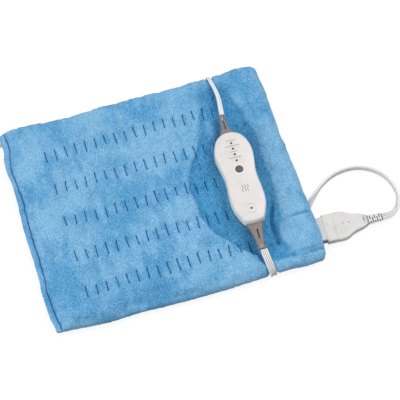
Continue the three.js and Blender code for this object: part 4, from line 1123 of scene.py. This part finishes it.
threads = []
for column, row, low, high, lean in tacks():
    line = np.abs(lines_x - first_tack_x - column * tack_pitch).argmin()
    middle = first_row_y + row * row_pitch
    for panel, lift in ((top, thread_lift), (under, -thread_lift_below)):
        points = []
        for y in middle + np.linspace(low + thread_inset, high - thread_inset, 2 * thread_stitches + 1):
            x, z = on_panel(panel, line, y)
            points.append((x + lean * (y - middle) / tack_half_length, y, z + lift))
        threads.append(skin("thread", thread_bar(points, thread_radius)))
seam_at = np.abs(lines_x - np.array([x for _, x in seam_line]).mean()).argmin()
seam_points = []
for y in np.linspace(seam_thread_inset - half_width, half_width - seam_thread_inset, seam_thread_points):
    x, z = on_panel(top, seam_at, y)
    seam_points.append((x, y, z + seam_thread_lift))
threads.append(skin("thread", thread_bar(seam_points, seam_thread_radius)))
bar_tacks = join_pieces(threads)
bar_tacks.name = "bar_tacks"
blue_thread = Finish("blue_thread", {"Roughness": 0.8, "Specular IOR Level": 0.1})
twist = blue_thread.noise(1800, detail=2)
blue_thread.grained(twist, (0, 72, 136), (2, 92, 160))
blue_thread.bump(twist, 0.0001)
dress(bar_tacks, blue_thread, "plush", angle=60, moulded=False)

# Controller casing: an hourglass of satin white plastic on a warm grey underside, both hollow
# mouldings, held by four screws. The top is a shallow dome with a soft edge, a round recess for
# the button ringed by a painted highlight, and a hole for each light.
casing_half_width = 0.0266
casing_half_length = 0.0705
casing_height = 0.024
casing_split = 0.009
casing_clearance = 0.0003
casing_wall = 0.002
casing_seat = 0.0188
casing_bevel = 0.0004
poles_within = 0.000005
button_v = 0.01172
button_radius = 0.0054
button_gap = 0.0004
recess_radius = 0.0071
recess_depth = 0.0006
highlight_rim = (0.0002, 0.0008)  # outside the recess, between which its painted highlight ends
light_radius = 0.0012
light_places = (0.0530, 0.0440, 0.0350, 0.0253, -0.0495)
screw_places = ((0.0172, 0.0420), (-0.0172, 0.0420), (0.0164, -0.0360), (-0.0164, -0.0360))
casing_outline_shares = [
    (0, -1), (0.33, -0.985), (0.52, -0.955), (0.655, -0.86), (0.79, -0.73), (0.88, -0.59),
    (0.9, -0.45), (0.882, -0.28), (0.842, -0.1), (0.845, 0.06), (0.905, 0.22), (0.975, 0.38),
    (1, 0.5), (0.975, 0.62), (0.895, 0.74), (0.755, 0.85), (0.57, 0.93), (0.33, 0.98), (0, 1),
]
# How far in and how high each level of the top and of the underside lies
dome_level_shares = [(0, 0), (0.006, 0.42), (0.022, 0.66), (0.055, 0.79), (0.13, 0.86),
                     (0.35, 0.925), (0.6, 0.975), (0.88, 1)]
foot_level_shares = [(0, 1), (0.012, 0.6), (0.05, 0.22), (0.16, 0), (0.4, 0)]
boot_middle = 0.00915
boot_half_height = 0.0052
screw_boss_radius = 0.0031
screw_boss_top = 0.0212
screw_post_radius = 0.0042
screw_hole_radius = 0.0016
screw_hole_depth = 0.0073
screw_head_radius = 0.003
screw_head_depth = 0.004
overrun = 0.001
# Each boot: which way it points, its length and half width, and the shares that say how far
# out each of its sections lies, how wide it is and how high
mains_boot_end = (1, 0.0336, 0.0115, [
    (-0.32, 1, 1), (0.07, 0.904, 0.96), (0.19, 0.73, 0.885), (0.29, 0.557, 0.81),
    (0.425, 0.435, 0.73), (0.6, 0.374, 0.635), (0.8, 0.357, 0.54), (0.97, 0.36, 0.53),
    (1, 0.33, 0.49)])
pad_boot_end = (-1, 0.0372, 0.0126, [
    (-0.28, 1, 1), (-0.01, 0.889, 1), (0.153, 0.738, 0.94), (0.395, 0.571, 0.827),
    (0.637, 0.468, 0.69), (0.825, 0.444, 0.56), (0.97, 0.448, 0.54), (1, 0.41, 0.5)])
controller_place = (Matrix.Translation((controller_x, controller_y, casing_seat))
                    @ Matrix.Rotation(controller_tilt, 4, "Z"))


def oblong(half_wide, half_high, count):
    """Points round a flat oval: two half circles joined by straight sides."""
    reach = half_wide - half_high
    points = []
    for side in (1, -1):
        for turn in np.linspace(-math.pi / 2, math.pi / 2, count // 2):
            points.append((side * (reach + half_high * math.cos(turn)), side * half_high * math.sin(turn)))
    return points


def run(name, points, stations, normal=0):
    """A closed piece: an outline grown from station to station along one axis. A station is
    its middle and the outline's two scales there."""
    first = np.array(points, float) * stations[0][1:]
    piece = outline_ring(name, first, normal, stations[0][0])
    for (middle, *scale), (next_middle, *next_scale) in zip(stations, stations[1:]):
        step = [b - a for a, b in zip(middle, next_middle)]
        bpy.ops.mesh.extrude_region_move(TRANSFORM_OT_translate={"value": step})
        value = [b / a for a, b in zip(scale, next_scale)]
        value.insert(normal, 1)
        bpy.ops.transform.resize(value=value, center_override=next_middle)
    bpy.ops.object.mode_set(mode="OBJECT")
    face_outwards(piece, poles_within)
    return piece


def outline_ring(name, points, normal, middle):
    """Adds a filled circle, moves its points onto an outline, and opens it for editing."""
    bpy.ops.object.select_all(action="DESELECT")
    bpy.ops.mesh.primitive_circle_add(vertices=len(points), fill_type="NGON")
    piece = bpy.context.object
    piece.name = name
    first, second = [axis for axis in range(3) if axis != normal]
    places = np.zeros((len(points), 3))
    places[:, first], places[:, second] = np.array(points).T
    places += np.array(middle)
    piece.data.vertices.foreach_set("co", places.astype(np.float32).ravel())
    piece.data.update()
    bpy.ops.object.mode_set(mode="EDIT")
    bpy.ops.mesh.select_all(action="SELECT")
    return piece


def cut_away(piece, *tools):
    """Takes tools that don't touch each other out of a piece."""
    tool = join_pieces(tools)
    modify(piece, "BOOLEAN", operation="DIFFERENCE", solver="EXACT", object=tool)
    bpy.data.objects.remove(tool)


def joined(piece, other):
    """Welds another piece onto a piece."""
    modify(piece, "BOOLEAN", operation="UNION", solver="EXACT", object=other)
    bpy.data.objects.remove(other)


def rod(radius, low, high, place, sides=32):
    """A round cutting tool along Z."""
    bpy.ops.object.select_all(action="DESELECT")
    bpy.ops.mesh.primitive_cylinder_add(vertices=sides, radius=radius, depth=high - low,
                                        location=(place[0], place[1], (low + high) / 2))
    bpy.ops.object.transform_apply(location=True)
    return bpy.context.object


def block(low, high):
    """A square cutting tool between two corners."""
    bpy.ops.object.select_all(action="DESELECT")
    size = [b - a for a, b in zip(low, high)]
    bpy.ops.mesh.primitive_cube_add(size=1, scale=size,
                                    location=[(a + b) / 2 for a, b in zip(low, high)])
    bpy.ops.object.transform_apply(location=True, scale=True)
    return bpy.context.object


def seat_in(piece, place):
    """Moves a piece from its own axes to its place on the pad, and keeps the place in its mesh."""
    pick(piece)
    piece.matrix_world = place
    bpy.ops.object.transform_apply(location=True, rotation=True, scale=True)


def casing_solid(name, level_shares, low, high, wall=0):
    """The top or the underside as a solid: the outline, drawn in level by level."""
    half = [(u * casing_half_width, v * casing_half_length) for u, v in casing_outline_shares]
    ring = smooth_line(half + [(-u, v) for u, v in half[-2:0:-1]], 4, closed=True)
    stations = [((0, controller_middle, low + rise * (high - low)),
                 1 - inset - wall / casing_half_width,
                 1 - (inset * casing_half_width + wall) / casing_half_length)
                for inset, rise in np.clip(smooth_line(level_shares, 3), 0, 1)]
    return run(name, ring, stations, 2)


def boot_solid(name, end, grown=0):
    """One boot's sleeve, or with grown the opening that it needs in the casing."""
    outward, length, half_wide, section_shares = end
    stations = [((0, controller_middle + outward * (casing_half_length + out * length), boot_middle),
                 wide, high) for out, wide, high in smooth_line(section_shares, 3)]
    return run(name, oblong(half_wide + grown, boot_half_height + grown, 48), stations, 1)


dome_low = casing_split + casing_clearance
casing_top = casing_solid("controller_top", dome_level_shares, dome_low, casing_height)
cut_away(casing_top, casing_solid("hollow", dome_level_shares, dome_low - overrun,
                                  casing_height - casing_wall, casing_wall))
casing_under = casing_solid("controller_underside", foot_level_shares, 0, casing_split)
cut_away(casing_under, casing_solid("hollow", foot_level_shares, casing_wall,
                                    casing_split + overrun, casing_wall))
for place in screw_places:
    joined(casing_top, rod(screw_boss_radius, dome_low, screw_boss_top, place, 24))
    cut_away(casing_top, rod(screw_hole_radius, dome_low - overrun, dome_low + screw_hole_depth, place, 16))
    joined(casing_under, rod(screw_post_radius, casing_wall / 2, casing_split, place, 24))
    cut_away(casing_under, rod(screw_head_radius, -overrun, screw_head_depth, place, 24))
    cut_away(casing_under, rod(screw_hole_radius, -overrun, casing_split + overrun, place, 16))
for end in (mains_boot_end, pad_boot_end):
    for piece in (casing_top, casing_under):
        cut_away(piece, boot_solid("opening", end, casing_clearance / 2))
cut_away(casing_top, rod(recess_radius, casing_height - recess_depth, 2 * casing_height,
                         (0, button_v), 48))
cut_away(casing_top, rod(button_radius + button_gap, casing_split, 2 * casing_height,
                         (0, button_v), 48))
cut_away(casing_top, *[rod(light_radius + button_gap, casing_split, 2 * casing_height, (0, v), 20)
                       for v in light_places])
for piece in (casing_top, casing_under):
    soften(piece, casing_bevel, 42)

shell_white = Finish("satin_white_plastic", {"Coat Weight": 0.08, "Coat Roughness": 0.2,
                                             "Subsurface Weight": 0.04, "Subsurface Scale": 0.001})
handled = shell_white.noise(60, detail=4)
key_x, key_y, _ = controller_place @ Vector((0, button_v, 0))
level_place = shell_white.vector("MULTIPLY", shell_white.place, (1, 1, 0))
off_key = shell_white.vector("DISTANCE", level_place, (key_x, key_y, 0), "Value")
# Painted highlight: a lighter ring round the button's recess.
painted_highlight = 1 - shell_white.between(off_key, *[recess_radius + rim for rim in highlight_rim])
shell_white.feed(shell_white.shader, {
    "Base Color": shell_white.mix(painted_highlight, shell_white.mix(
        shell_white.between(handled, 0.35, 0.75), colour(229, 225, 223), colour(221, 217, 215)),
        colour(244, 244, 245)),
    "Roughness": 0.38 + handled * 0.14,
})
shell_white.bump(shell_white.noise(2600, detail=2), 0.00003)
warm_grey = Finish("warm_grey_plastic", {"Coat Weight": 0.1, "Coat Roughness": 0.35})
scuffed = warm_grey.noise(140, detail=5)
warm_grey.grained(scuffed, (120, 110, 108), (140, 131, 129), (0.42, 0.2))
warm_grey.bump(warm_grey.noise(1800, detail=2), 0.00004)
for piece, finish, slot, node in ((casing_top, shell_white, "white_plastic", "controller_upper_shell"),
                                  (casing_under, warm_grey, "grey_rubber", "controller_lower_shell")):
    seat_in(piece, controller_place)
    dress(piece, finish, slot, angle=38)
    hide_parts(node)

# Boots: the tapered grey sleeves at both ends of the casing, each with a long slot and two
# short ones that let it bend with its cord, which shows white in the short ones.
boot_slot_depth = 0.0024
boot_slot_level_share = 0.72
boot_edge = 0.00025
# Each short slot: how far behind the tip it lies, and the side shares it is cut between
boot_short_slots = ((0.0026, -1, 0.45), (0.0056, -0.45, 1))
boot_short_slot_wide = 0.0018
boot_short_slot_reach = 0.008
boot_web = 0.0005
boot_cord_share = 0.7
boot_cord_half_height = 0.0014
boot_cord_reach = (0.0086, 0.0014)


def boot(name, end, slot_shares, slot_wide, node):
    """One boot with its slots and its cord, outside on the casing's end."""
    outward, length, half_wide, section_shares = end
    piece = boot_solid(name, end)
    reach = [controller_middle + outward * (casing_half_length + share * length)
             for share in slot_shares]
    top = boot_middle + boot_half_height
    slot_floor = boot_middle + boot_slot_level_share * boot_half_height - boot_slot_depth
    cut_away(piece, block((-slot_wide / 2, min(reach), slot_floor), (slot_wide / 2, max(reach), 2 * top)))
    tip = controller_middle + outward * (casing_half_length + length)
    for back_off, low, high in boot_short_slots:
        near, far = sorted((tip - outward * back_off, tip - outward * (back_off + boot_short_slot_wide)))
        left, right = low * boot_short_slot_reach, high * boot_short_slot_reach
        cut_away(piece, block((left, near, boot_middle + boot_web), (right, far, 2 * top)),
                 block((left, near, -top), (right, far, boot_middle - boot_web)))
    soften(piece, boot_edge, 45)
    seat_in(piece, controller_place)
    dress(piece, warm_grey, "grey_rubber", angle=45)
    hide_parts(node)
    cord_half_wide = boot_cord_share * half_wide * section_shares[-1][1]
    seen = run(node + "_cord_inside", oblong(cord_half_wide, boot_cord_half_height, 32),
               [((0, tip - outward * back_off, boot_middle), 1, 1) for back_off in boot_cord_reach], 1)
    seat_in(seen, controller_place)
    dress(seen, vinyl, "cord_vinyl", angle=45)


boot("mains_boot_sleeve", mains_boot_end, (0.26, 0.68), 0.0027, "mains_boot")
boot("pad_boot_sleeve", pad_boot_end, (0.24, 0.62), 0.0024, "pad_boot")

# Button and lights: a soft dark grey key with a hollowed top, five small dark lamps, and the
# casing's plain printed marks, with three heat waves in the lower lobe.
key_sides = 64
key_centre = 0.0002
key_stem_radius = 0.002
key_stem_low = 0.0175
key_flange_radius = 0.0072
key_flange_low = 0.0202
key_flange_top = 0.0214
# The key's round edge: how far in from its side and how far below the casing's top
key_edge = [(0, 0.00055), (0.00015, 0.0003), (0.0005, 0.00018), (0.4 * button_radius, 0.00004)]
print_lift = 0.00004
print_wide = 0.00032
print_points = 24
# Half length, place along the casing and width of each printed rule
printed_rules = [(0.0067, 0.0574, 0.0009), (0.0100, 0.0484, 0.0009), (0.0051, 0.0395, 0.0009),
                 (0.0087, 0.0302, 0.0009)]
ready_arc_radius = 0.0068
ready_arcs = ((35, 145), (215, 325))
heat_wave_v = -0.0185
heat_wave_half_height = 0.0052
heat_wave_pitch = 0.0036
heat_wave_sway = 0.0009
heat_wave_wide = 0.001
key_profile = [(key_centre, key_stem_low), (key_stem_radius, key_stem_low),
               (key_stem_radius, key_flange_low), (key_flange_radius, key_flange_low),
               (key_flange_radius, key_flange_top), (button_radius, key_flange_top),
               *[(button_radius - inset, casing_height - below) for inset, below in key_edge],
               (key_centre, casing_height)]
key_turn = np.linspace(0, 2 * math.pi, key_sides, endpoint=False)
key = run("power_key", np.column_stack([np.cos(key_turn), np.sin(key_turn)]),
          [((0, button_v, z), r, r) for r, z in key_profile], 2)
key_rubber = Finish("dark_grey_rubber", {"Roughness": 0.5, "Coat Weight": 0.15, "Coat Roughness": 0.3})
worn = key_rubber.noise(500, detail=4)
key_rubber.grained(worn, (80, 68, 72), (100, 88, 92))
key_rubber.bump(key_rubber.noise(3000), 0.00003)
seat_in(key, controller_place)
dress(key, key_rubber, "button_rubber", body="button", angle=35)
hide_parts("power_button")


def printed_line(points, wide):
    """Rings of a thin flat bar that follows points on the casing's dome."""
    points = np.array(points, float)
    along = np.gradient(points, axis=0)
    side = np.column_stack([-along[:, 1], along[:, 0]]) / np.hypot(*along.T)[:, None] * wide / 2
    rings = []
    for (u, v), (du, dv) in zip(points, side):
        _, spot, _, _ = casing_top.ray_cast(controller_place @ Vector((u, v, 2 * casing_height)),
                                            Vector((0, 0, -1)))
        low, high = spot.z - print_lift, spot.z + print_lift
        left, right = (controller_place @ Vector((u + s * du, v + s * dv, 0)) for s in (-1, 1))
        rings.append([(left.x, left.y, low), (right.x, right.y, low),
                      (right.x, right.y, high), (left.x, left.y, high)])
    return np.array(rings)


marks = [printed_line(np.column_stack([np.linspace(-reach, reach, 8), np.full(8, v)]), wide)
         for reach, v, wide in printed_rules]
for start, end in ready_arcs:
    turn = np.radians(np.linspace(start, end, print_points))
    marks.append(printed_line(np.column_stack([
        ready_arc_radius * np.cos(turn), light_places[-1] + ready_arc_radius * np.sin(turn)]), print_wide))
for shift in (-heat_wave_pitch, 0, heat_wave_pitch):
    rise = np.linspace(-heat_wave_half_height, heat_wave_half_height, print_points)
    sway = heat_wave_sway * np.sin(rise / heat_wave_half_height * math.pi)
    marks.append(printed_line(np.column_stack([shift + sway, heat_wave_v + rise]), heat_wave_wide))
prints = join_pieces([skin("casing_print", rings) for rings in marks])
ink = Finish("grey_print", {"Roughness": 0.6})
ink.grained(ink.between(ink.noise(2500, detail=2), 0.35, 0.6), (166, 163, 166), (136, 133, 138))
dress(prints, ink, "white_plastic", angle=30)

light_lens = Finish("dark_lens", {"Roughness": 0.5, "Specular IOR Level": 0.15})
light_lens.grained(light_lens.noise(900, detail=2), (14, 4, 4), (28, 10, 10))
light_lens.bump(light_lens.noise(1500), 0.00002)
coat(light_lens, *numbered("led", 5))
laminate = Finish("green_laminate", {"Roughness": 0.4, "Coat Weight": 0.4, "Coat Roughness": 0.15})
weave = laminate.noise(1100, detail=2, stretch=(1, 0.3, 1))
laminate.grained(laminate.between(weave, 0.42, 0.58), (38, 92, 60), (62, 126, 84))
laminate.bump(weave, 0.00004)
coat(laminate, "circuit_board")
resin = Finish("black_resin", {})
grit = resin.noise(1600, detail=3)
resin.grained(grit, (28, 28, 30), (50, 50, 53), (0.4, 0.25))
resin.bump(grit, 0.00004)
coat(resin, "control_chip", "relay", "capacitor", "switch_body")
coat(shell_white, "switch_plunger")

# Socket: a wide white collar on a narrower body, sewn into the pad's right edge. The body lies
# hidden in the cover's pocket, and two small dimples mark the collar.
connector_place = (Matrix.Translation((0.2125, -0.1175, 0.0085))
                   @ Matrix.Rotation(math.radians(-3), 4, "Z"))
collar_length = 0.0135
collar_half_width = 0.0203
collar_half_height = 0.0055
housing_length = 0.04
housing_half_width = 0.018
housing_half_height = 0.0049
nose_half_width = 0.017
nose_half_height = 0.0035
nose_play = 0.00035
socket_depth = 0.015
collar_round = 0.0016
face_gap = 0.0001
socket_edge = 0.0003
# Where each body's outline lies along the axis, and its scale there
collar_stations = ((-collar_length, 0.985), (0.0004 - collar_length, 1), (-0.0005, 1),
                   (-face_gap, 0.985))
housing_stations = ((-housing_length, 0.97), (0.0006 - housing_length, 1), (0.001 - collar_length, 1))
dimple_radius = 0.0009
dimple_depth = 0.0013
dimple_places = ((-0.0123, -0.0186), (-0.0123, 0.0186))
# Where painted shade darkens the plastic towards the cord, and where it paints the dark behind the collar
end_shade_along = (0.039, 0.048)
end_shade_below = (0.0028, 0.0052)
collar_shade_along = (-0.0142, -0.0134)
collar_shade_across = (-0.0172, -0.0155)
shade_share = 0.7


def rounded(half_wide, half_high, radius, turns=4):
    """Points round a rectangle with rounded corners."""
    corner = np.linspace(0, math.pi / 2, turns + 1)
    points = []
    for quarter, (over, up) in enumerate(((1, 1), (-1, 1), (-1, -1), (1, -1))):
        for turn in corner + quarter * math.pi / 2:
            points.append((over * (half_wide - radius) + radius * math.cos(turn),
                           up * (half_high - radius) + radius * math.sin(turn)))
    return points


def opening(near, far, half_wide, half_high):
    """A cutting tool for a passage along the axis, with room round what goes into it."""
    return block((near, -half_wide - nose_play, -half_high - nose_play),
                 (far, half_wide + nose_play, half_high + nose_play))


moulded_white = Finish("moulded_white_plastic", {"Coat Weight": 0.05, "Coat Roughness": 0.3,
                                                 "Subsurface Weight": 0.04, "Subsurface Scale": 0.001})
flowed = moulded_white.noise(70, detail=4)
connector_turn = connector_place.to_3x3()
off_face = moulded_white.vector("SUBTRACT", moulded_white.place, connector_place.translation)
along, across, up = [moulded_white.vector("DOT_PRODUCT", off_face, axis, "Value")
                     for axis in connector_turn.col]
# Painted shade: the plastic turns dark grey at the connector's end by the cord and in the gap behind the
# collar.
cord_end_shade = (moulded_white.between(along, *end_shade_along)
                 * (1 - moulded_white.between(up, *end_shade_below)))
shade_behind_collar = ((1 - moulded_white.between(along, *collar_shade_along))
                 * (1 - moulded_white.between(across, *collar_shade_across)))
moulded_white.feed(moulded_white.shader, {
    "Base Color": moulded_white.mix((cord_end_shade + shade_behind_collar) * shade_share, moulded_white.mix(
        moulded_white.between(flowed, 0.35, 0.75), colour(223, 221, 219), colour(213, 211, 209)),
        colour(84, 83, 88)),
    "Roughness": 0.42 + flowed * 0.14,
})
moulded_white.bump(moulded_white.noise(1900, detail=2), 0.00004)
socket = run("socket_housing", rounded(collar_half_width, collar_half_height, collar_round),
             [((x, 0, 0), scale, scale) for x, scale in collar_stations])
joined(socket, run("body", rounded(housing_half_width, housing_half_height, collar_round),
                   [((x, 0, 0), scale, scale) for x, scale in housing_stations]))
cut_away(socket, opening(-socket_depth, overrun, nose_half_width, nose_half_height))
for place in dimple_places:
    cut_away(socket, rod(dimple_radius, collar_half_height - dimple_depth, 2 * collar_half_height,
                         place, 16))
soften(socket, socket_edge, 50)
seat_in(socket, connector_place)
dress(socket, moulded_white, "white_plastic", angle=40)
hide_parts("inlet_housing")
pin_brass = Finish("bare_brass", {"Metallic": 1})
turned = pin_brass.noise(1500, detail=4, stretch=(0.15, 1, 1))
pin_brass.grained(turned, (196, 164, 98), (226, 200, 136), (0.22, 0.22))
pin_brass.bump(turned, 0.00002)
coat(pin_brass, *numbered("inlet_pin", 3), *numbered("contact", 3))

# Connector: two white shells that meet at half height, waisted towards the cord, with a flat
# top, soft edges, a short slot and two small dots. Its nose and sleeves reach into the socket.
connector_length = 0.048
connector_half_width = 0.021
connector_half_height = 0.0055
connector_round = 0.0027
connector_shares = [(0, 0.967, 0.93), (0.04, 0.985, 1), (0.17, 1, 1), (0.33, 0.925, 1),
                    (0.48, 0.735, 1), (0.63, 0.605, 0.97), (0.78, 0.525, 0.9), (0.89, 0.43, 0.8),
                    (0.96, 0.35, 0.68), (1, 0.3, 0.56)]
connector_edge = 0.00025
nose_seat = 0.0105
tongue_half_width = 0.0035
tongue_half_height = 0.0019
tongue_seat = 0.006
tongue_back = 0.0058
# The short slot of the upper shell, between two corners, and its dots
top_slot = ((0.0413, -0.0022, 0.0028), (0.0427, 0.0024, 0.02))
dot_radius = 0.001
dot_depth = 0.0022
dot_places = ((0.0124, 0.0016), (0.0208, 0.0013))


def connector_half(name, side):
    """The upper or the lower shell, cut from the whole outline."""
    stations = smooth_line(connector_shares, 3)
    piece = run(name, rounded(connector_half_width, connector_half_height, connector_round, 6),
                [((face_gap + x * connector_length, 0, 0), wide, high)
                 for x, wide, high in stations])
    far = 3 * connector_length
    cut_away(piece, block((-far, -far, -far if side > 0 else -face_gap),
                          (far, far, face_gap if side > 0 else far)))
    return piece


for name, side, node in (("connector_top", 1, "connector_upper_shell"),
                         ("connector_base", -1, "connector_lower_shell")):
    shell = connector_half(name, side)
    cut_away(shell, opening(-overrun, nose_seat, nose_half_width, nose_half_height))
    cut_away(shell, opening(connector_length - tongue_seat, 2 * connector_length,
                            tongue_half_width, tongue_half_height))
    if side > 0:
        cut_away(shell, block(*top_slot))
        for place in dot_places:
            cut_away(shell, rod(dot_radius, connector_half_height - dot_depth,
                                2 * connector_half_height, place, 16))
    soften(shell, connector_edge, 50)
    seat_in(shell, connector_place)
    dress(shell, moulded_white, "white_plastic", body="connector", angle=40)
    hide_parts(node)
coat(moulded_white, "contact_block")

# Ribbed sleeve: flexible white rings behind the connector, joined by staggered bridges so that
# they can bend with the cord, round a warm grey core that paints the shade in the gaps between them.
relief_length = 0.0197
relief_start = connector_length + 0.0006
relief_rings = 6
relief_half_width = 0.0069
relief_tip_half_width = 0.0063
relief_half_height = 0.0045
relief_tip_half_height = 0.0031
relief_gap = 0.0018
relief_core_half_width = 0.0052
relief_core_half_height = 0.00195
relief_edge = 0.0003
relief_bridge = 0.0024
relief_bridge_off = 0.0027
relief_edge_scales = (0.94, 0.92)
relief_tongue = 0.002


def relief_ring(near, far):
    """One ring of the sleeve, with soft edges, smaller towards the cord."""
    share = (near - relief_start) / relief_length
    wide = 1 - share * (1 - relief_tip_half_width / relief_half_width)
    high = 1 - share * (1 - relief_tip_half_height / relief_half_height)
    edge_wide, edge_high = relief_edge_scales[0] * wide, relief_edge_scales[1] * high
    return run("ring", oblong(relief_half_width, relief_half_height, 40),
               [((near, 0, 0), edge_wide, edge_high), ((near + relief_edge, 0, 0), wide, high),
                ((far - relief_edge, 0, 0), wide, high), ((far, 0, 0), edge_wide, edge_high)])


ring_pitch = relief_length / relief_rings
parts = []
for i in range(relief_rings):
    near = relief_start + i * ring_pitch
    far = near + ring_pitch - relief_gap
    parts.append(relief_ring(near, far))
    if i < relief_rings - 1:
        middle = relief_bridge_off if i % 2 else -relief_bridge_off
        high = relief_half_height - (i + 1) / relief_rings * (relief_half_height - relief_tip_half_height)
        high = high * relief_edge_scales[1]
        parts.append(block((far - relief_edge, middle - relief_bridge / 2, -high),
                           (far + relief_gap + relief_edge, middle + relief_bridge / 2, high)))
# The core is grey only as painted shade in the gaps between the rings.
core = run("relief_core", oblong(relief_core_half_width, relief_core_half_height, 40),
           [((relief_start, 0, 0), 1, 1), ((relief_start + relief_length, 0, 0), 1, 1)])
seat_in(core, connector_place)
dress(core, warm_grey, "white_plastic", body="connector", angle=35)
tongue = block((connector_length - tongue_back, -tongue_half_width, -tongue_half_height),
               (relief_start + relief_tongue, tongue_half_width, tongue_half_height))
sleeve = join_pieces([*parts, tongue])
sleeve.name = "relief_sleeve"
seat_in(sleeve, connector_place)
dress(sleeve, vinyl, "white_plastic", body="connector", angle=35)
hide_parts("connector_strain_relief")

# Mains plug: a white moulded two-pin plug with finger grips and a tapered sleeve, lying beside
# the coil, and a black strap round the coil.
plug_place = (Matrix.Translation((-0.30605, 0.0852, 0.0119))
              @ Matrix.Rotation(-math.pi / 2, 4, "Z"))
plug_length = 0.05
plug_half_thickness = 0.0075
plug_half_height = 0.0115
plug_round = 0.0036
plug_shares = [(0, 0.35, 0.31), (0.3, 0.45, 0.33), (0.37, 0.55, 0.43), (0.42, 0.78, 0.72),
               (0.47, 0.93, 0.92), (0.55, 0.985, 0.985), (0.75, 1, 1), (0.95, 1, 1),
               (0.985, 0.975, 0.985), (1, 0.92, 0.95)]
grip_grooves = 5
grip_start = 0.0275
grip_pitch = 0.0028
grip_wide = 0.0011
grip_deep = 0.0004
grip_half_height = 0.0062
plug_edge = 0.0003
blade_seat = 0.005
blade_half_thickness = 0.00075
blade_half_spacing = 0.00635
blade_half_widths = (0.003175, 0.00395)
blade_play = 0.0002
plug_grip = run("plug_grip", rounded(plug_half_thickness, plug_half_height, plug_round, 6),
                [((x * plug_length, 0, 0), wide, high)
                 for x, wide, high in smooth_line(plug_shares, 2)])
for side in (-1, 1):
    for i in range(grip_grooves):
        near = grip_start + i * grip_pitch
        face = side * (plug_half_thickness - grip_deep), side * 2 * plug_half_thickness
        cut_away(plug_grip, block((near, min(face), -grip_half_height),
                                  (near + grip_wide, max(face), grip_half_height)))
    half = blade_half_widths[0] if side > 0 else blade_half_widths[1]
    level = side * blade_half_spacing
    cut_away(plug_grip, block(
        (plug_length - blade_seat - blade_play, -half - blade_play,
         level - blade_half_thickness - blade_play),
        (2 * plug_length, half + blade_play, level + blade_half_thickness + blade_play)))
soften(plug_grip, plug_edge, 50)
seat_in(plug_grip, plug_place)
dress(plug_grip, vinyl, "cord_vinyl", angle=40)
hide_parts("mains_plug_body")
coat(pin_brass, "plug_blade_narrow", "plug_blade_wide")
coat(resin, "cord_tie")

# Studio: a white sweep, one high soft lamp from behind, a low broad one from the left, pale
# light from all round, and the camera at the photograph's own angle and distance.
photo_side = 400
focal_pixels = 1600
sensor_width = 0.036
camera_target = Vector((0.0526, -0.0188, 0))
camera_distance = 2.204
camera_elevation = math.radians(63.39)
camera_azimuth = math.radians(-17.35)
floor_reach = 6
floor_sink = 0.0002
# Each lamp's height and bearing in degrees, its strength and how wide its light spreads
lamps = {"lamp": (50, 26, 1.22, 28), "fill": (22, 192, 1.4, 70)}
room_strength = 0.54
paper_glow = 0.84

back = Vector((math.sin(camera_azimuth) * math.cos(camera_elevation),
               -math.cos(camera_azimuth) * math.cos(camera_elevation), math.sin(camera_elevation)))
camera = bpy.data.objects.new("camera", bpy.data.cameras.new("camera"))
bpy.context.collection.objects.link(camera)
camera.data.sensor_width = sensor_width * 1000
camera.data.lens = focal_pixels / photo_side * camera.data.sensor_width
camera.location = camera_target + camera_distance * back
camera.rotation_euler = (-back).to_track_quat("-Z", "Y").to_euler()
bpy.context.scene.camera = camera

paper = Finish("white_paper", {"Base Color": colour(125, 125, 125), "Roughness": 0.9,
                               "Emission Strength": 1})
seen = paper.node("ShaderNodeLightPath", {}, {}, "Is Camera Ray")
paper.feed(paper.shader, {"Emission Color": paper.mix(
    seen, (0, 0, 0, 1), (paper_glow, paper_glow, paper_glow, 1))})
bpy.ops.mesh.primitive_plane_add(size=floor_reach, location=(0, 0, -floor_sink))
floor = bpy.context.object
floor.name = "floor"
floor.data.materials.append(paper.material)
floor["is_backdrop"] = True

for name, (elevation, azimuth, strength, spread) in lamps.items():
    lamp = bpy.data.objects.new(name, bpy.data.lights.new(name, "SUN"))
    bpy.context.collection.objects.link(lamp)
    lamp.data.energy = strength
    lamp.data.angle = math.radians(spread)
    elevation, azimuth = math.radians(elevation), math.radians(azimuth)
    towards = Vector((math.cos(elevation) * math.cos(azimuth),
                      math.cos(elevation) * math.sin(azimuth), math.sin(elevation)))
    lamp.rotation_euler = towards.to_track_quat("Z", "Y").to_euler()

world = bpy.data.worlds.new("room")
bpy.context.scene.world = world
world.use_nodes = True
room = world.node_tree
light_path = room.nodes.new("ShaderNodeLightPath")
seen_white = room.nodes.new("ShaderNodeMix")
seen_white.inputs["A"].default_value = room_strength
seen_white.inputs["B"].default_value = 1
straight = light_path.outputs["Is Camera Ray"]
for kind in ("Is Glossy Ray", "Is Transmission Ray"):
    either = room.nodes.new("ShaderNodeMath")
    either.operation = "MAXIMUM"
    room.links.new(straight, either.inputs[0])
    room.links.new(light_path.outputs[kind], either.inputs[1])
    straight = either.outputs[0]
room.links.new(straight, seen_white.inputs["Factor"])
room.nodes["Background"].inputs["Color"].default_value = (1, 1, 1, 1)
room.links.new(seen_white.outputs["Result"], room.nodes["Background"].inputs["Strength"])
bpy.context.scene.view_settings.view_transform = "Standard"

low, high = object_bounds()
{"cad": [list(cad_low), list(cad_high)], "visual": [list(low), list(high)]}
